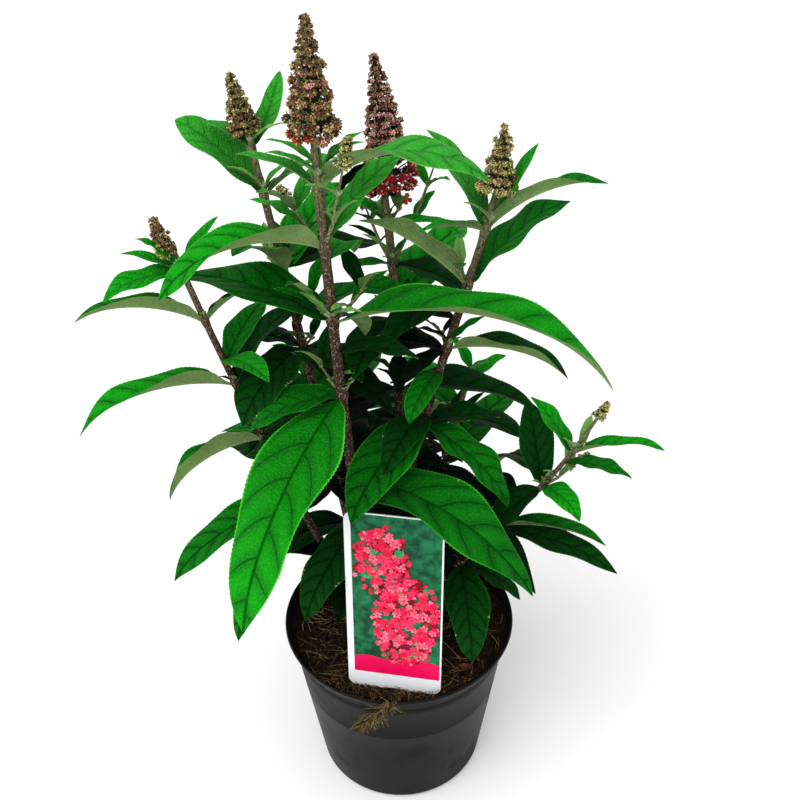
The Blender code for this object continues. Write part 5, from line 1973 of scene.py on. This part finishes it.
makeStool()
print("stool made")


# plant label, with a plain pattern of blossoms
card = {
    "taller": 0.0055,
    "ground": (-0.0312, 0.0350, 0.0265, 0.1625),  # left, right, low and high side of the green ground
    "groundCorner": 0.002,
    "band": (0.0150, 0.0300),
    "bandWave": 0.0022,
    "inlay": 0.00012,
    "drifts": ((-0.0100, 0.1220, 0.0200, 0.0300), (0.0090, 0.0690, 0.0250, 0.0420)),  # centres and radii
    "heart": 0.24,
}


def printFinish(name, colour, other, scale):
    made, tree, shader = newFinish(name, 0.40, 0.12)
    place = objectPlace(tree)
    body = mixed(tree, ease(tree, cloudy(tree, place, scale, 4.0), 0.35, 0.68), colour, other)
    tree.links.new(body, shader.inputs["Base Color"])
    relief(tree, shader, cloudy(tree, place, 900), 0.00003, 0.5)
    return made


printFinishes = {
    # name: one colour, the other, patches to the metre
    "cardWhite": ((0.82, 0.83, 0.85), (0.76, 0.77, 0.80), 30),
    "cardGreen": ((0.002, 0.050, 0.018), (0.012, 0.180, 0.070), 110),
    "cardLeaf": ((0.012, 0.200, 0.060), (0.060, 0.380, 0.150), 160),
    "cardCrimson": ((0.700, 0.003, 0.035), (0.800, 0.006, 0.075), 160),
    "cardBand": ((0.760, 0.002, 0.085), (0.700, 0.002, 0.075), 160),
    "cardRose": ((0.860, 0.050, 0.140), (0.800, 0.016, 0.070), 160),
    "cardPink": ((0.880, 0.200, 0.270), (0.840, 0.080, 0.160), 160),
    "cardDusk": ((0.200, 0.003, 0.012), (0.090, 0.002, 0.008), 160),
}
for name, row in printFinishes.items():
    finishes[name] = printFinish(name, *row)


def flatShape(outline, thick, level, finishName, name):
    # an outline filled, then drawn up to a thin inlay on the card
    mesh = bpy.data.meshes.new(name)
    mesh.from_pydata([(x, y, level) for x, y in outline], [], [tuple(range(len(outline)))])
    piece = bpy.data.objects.new(name, mesh)
    bpy.context.scene.collection.objects.link(piece)
    bpy.ops.object.select_all(action="DESELECT")
    piece.select_set(True)
    bpy.context.view_layer.objects.active = piece
    bpy.ops.object.mode_set(mode="EDIT")
    bpy.ops.mesh.select_all(action="SELECT")
    bpy.ops.mesh.extrude_region_move(TRANSFORM_OT_translate={"value": (0, 0, thick)})
    bpy.ops.object.mode_set(mode="OBJECT")
    return finishMesh(piece, name, finishName, 40)


def placeCopies(model, name, spots, finishNames):
    # each copy gets its own mesh, and all are joined to one inlay
    copies = []
    for k, (x, y, size, turn) in enumerate(spots):
        copy = bpy.data.objects.new(name + str(k), model.data.copy())
        bpy.context.scene.collection.objects.link(copy)
        flat = Matrix.Translation((x, y, 0)) @ Matrix.Rotation(turn, 4, "Z")
        copy.data.transform(flat @ Matrix.Diagonal((size, size, 1, 1)))
        copy.data.transform(Matrix.Translation((0, 0, 0.00001 * (k % 7))))
        copy.data.materials.clear()
        copy.data.materials.append(finishes[finishNames[k % len(finishNames)]])
        copies.append(copy)
    bpy.data.objects.remove(model, do_unlink=True)
    bpy.ops.object.select_all(action="DESELECT")
    for copy in copies:
        copy.select_set(True)
    bpy.context.view_layer.objects.active = copies[0]
    bpy.ops.object.join()
    piece = bpy.context.object
    piece.name = name
    piece.data.name = name
    return piece


def petalOutline(petals):
    outline = []
    for k in range(petals * 6):
        turn = math.tau * k / (petals * 6)
        reach = 0.42 + 0.58 * abs(math.cos(petals * turn / 2)) ** 0.55
        outline.append((reach * math.cos(turn), reach * math.sin(turn)))
    return outline


def leafOutline():
    side = [(t, 0.26 * math.sin(math.pi * t) ** 0.8) for t in np.linspace(0, 1, 9)]
    return [(x, -y) for x, y in side] + [(x, y) for x, y in side[-2:0:-1]]


def blossomSpots(dice, count, sizes, spread):
    spots = []
    for k in range(count):
        x0, y0, wide, tall = card["drifts"][k % 3 > 0]
        out, turn = spread * math.sqrt(dice.random()), dice.uniform(0, math.tau)
        x, y = x0 + wide * out * math.cos(turn), y0 + tall * out * math.sin(turn)
        left, right, low, high = card["ground"]
        size = dice.uniform(*sizes)
        x = min(max(x, left + size), right - size)
        y = min(max(y, low + size), high - size)
        spots.append((x, y, size, dice.uniform(0, 6)))
    return spots


# what is strewn on the ground: outline, height in inlays, how many, sizes, spread, finishes dealt out
prints = {
    "labelSprigs": (leafOutline(), 1, 34, (0.010, 0.015), 1.35, ("cardLeaf", "cardGreen")),
    "labelShadows": (petalOutline(9), 1.5, 60, (0.0040, 0.0060), 0.95, ("cardDusk",)),
    "labelFlorets": (
        petalOutline(5), 2, 330, (0.0013, 0.0024), 1.08,
        ("cardCrimson", "cardRose", "cardPink", "cardCrimson"),
    ),
    "labelBlossoms": (
        petalOutline(5), 3, 170, (0.0024, 0.0038), 0.94,
        ("cardRose", "cardPink", "cardCrimson", "cardRose"),
    ),
}


def printLayer(name, outline, up, spots, finishNames):
    thick, level = card["inlay"], label["thick"] / 2 + up * card["inlay"]
    model = flatShape(outline, thick, level, finishNames[0], name + "Model")
    return placeCopies(model, name, spots, finishNames)


def makeLabel():
    (wide, tall), (stakeWide, deep) = label["size"], label["stake"]
    thick, step = label["thick"], card["inlay"]
    half, shoulder = stakeWide / 2, -deep + stakeWide / 2
    side = [(half * 0.5, shoulder - half * 0.6), (half, shoulder), (half, 0)]
    outline = [(-x, y) for x, y in reversed(side)] + [(0, -deep)] + side
    outline += roundedBox(-wide / 2, wide / 2, 0, tall + card["taller"], label["corner"], 8)
    body = flatShape(outline, thick, -thick / 2, "cardWhite", "labelCard")
    left, right, low, high = card["ground"]
    box = roundedBox(left, right, low, high, card["groundCorner"])
    ground = flatShape(box, step, thick / 2 - 0.00001, "cardGreen", "labelGround")
    low, high = card["band"]
    hill = [(left, low), (right, low)]
    for share in (k / 24 for k in range(25)):
        wave = card["bandWave"] * math.sin(math.tau * share * 1.5)
        hill.append((right + (left - right) * share, high + wave))
    band = flatShape(hill, step, thick / 2 + 0.00006, "cardBand", "labelBand")
    dice = random.Random(growth["seed"] + 7)
    pieces = [body, ground, band]
    for name, (shape, up, count, sizes, spread, finishNames) in prints.items():
        spots = blossomSpots(dice, count, sizes, spread)
        pieces.append(printLayer(name, shape, up, spots, finishNames))
    hearts = [(x, y, size * card["heart"], turn) for x, y, size, turn in spots]  # of the last layer
    pieces.append(printLayer("labelHearts", petalOutline(7), 4, hearts, ("cardCrimson",)))
    for piece in pieces:
        piece.data.transform(labelMatrix())
        settle(piece, ["label"] if piece is body else ())


makeLabel()
print("label made")
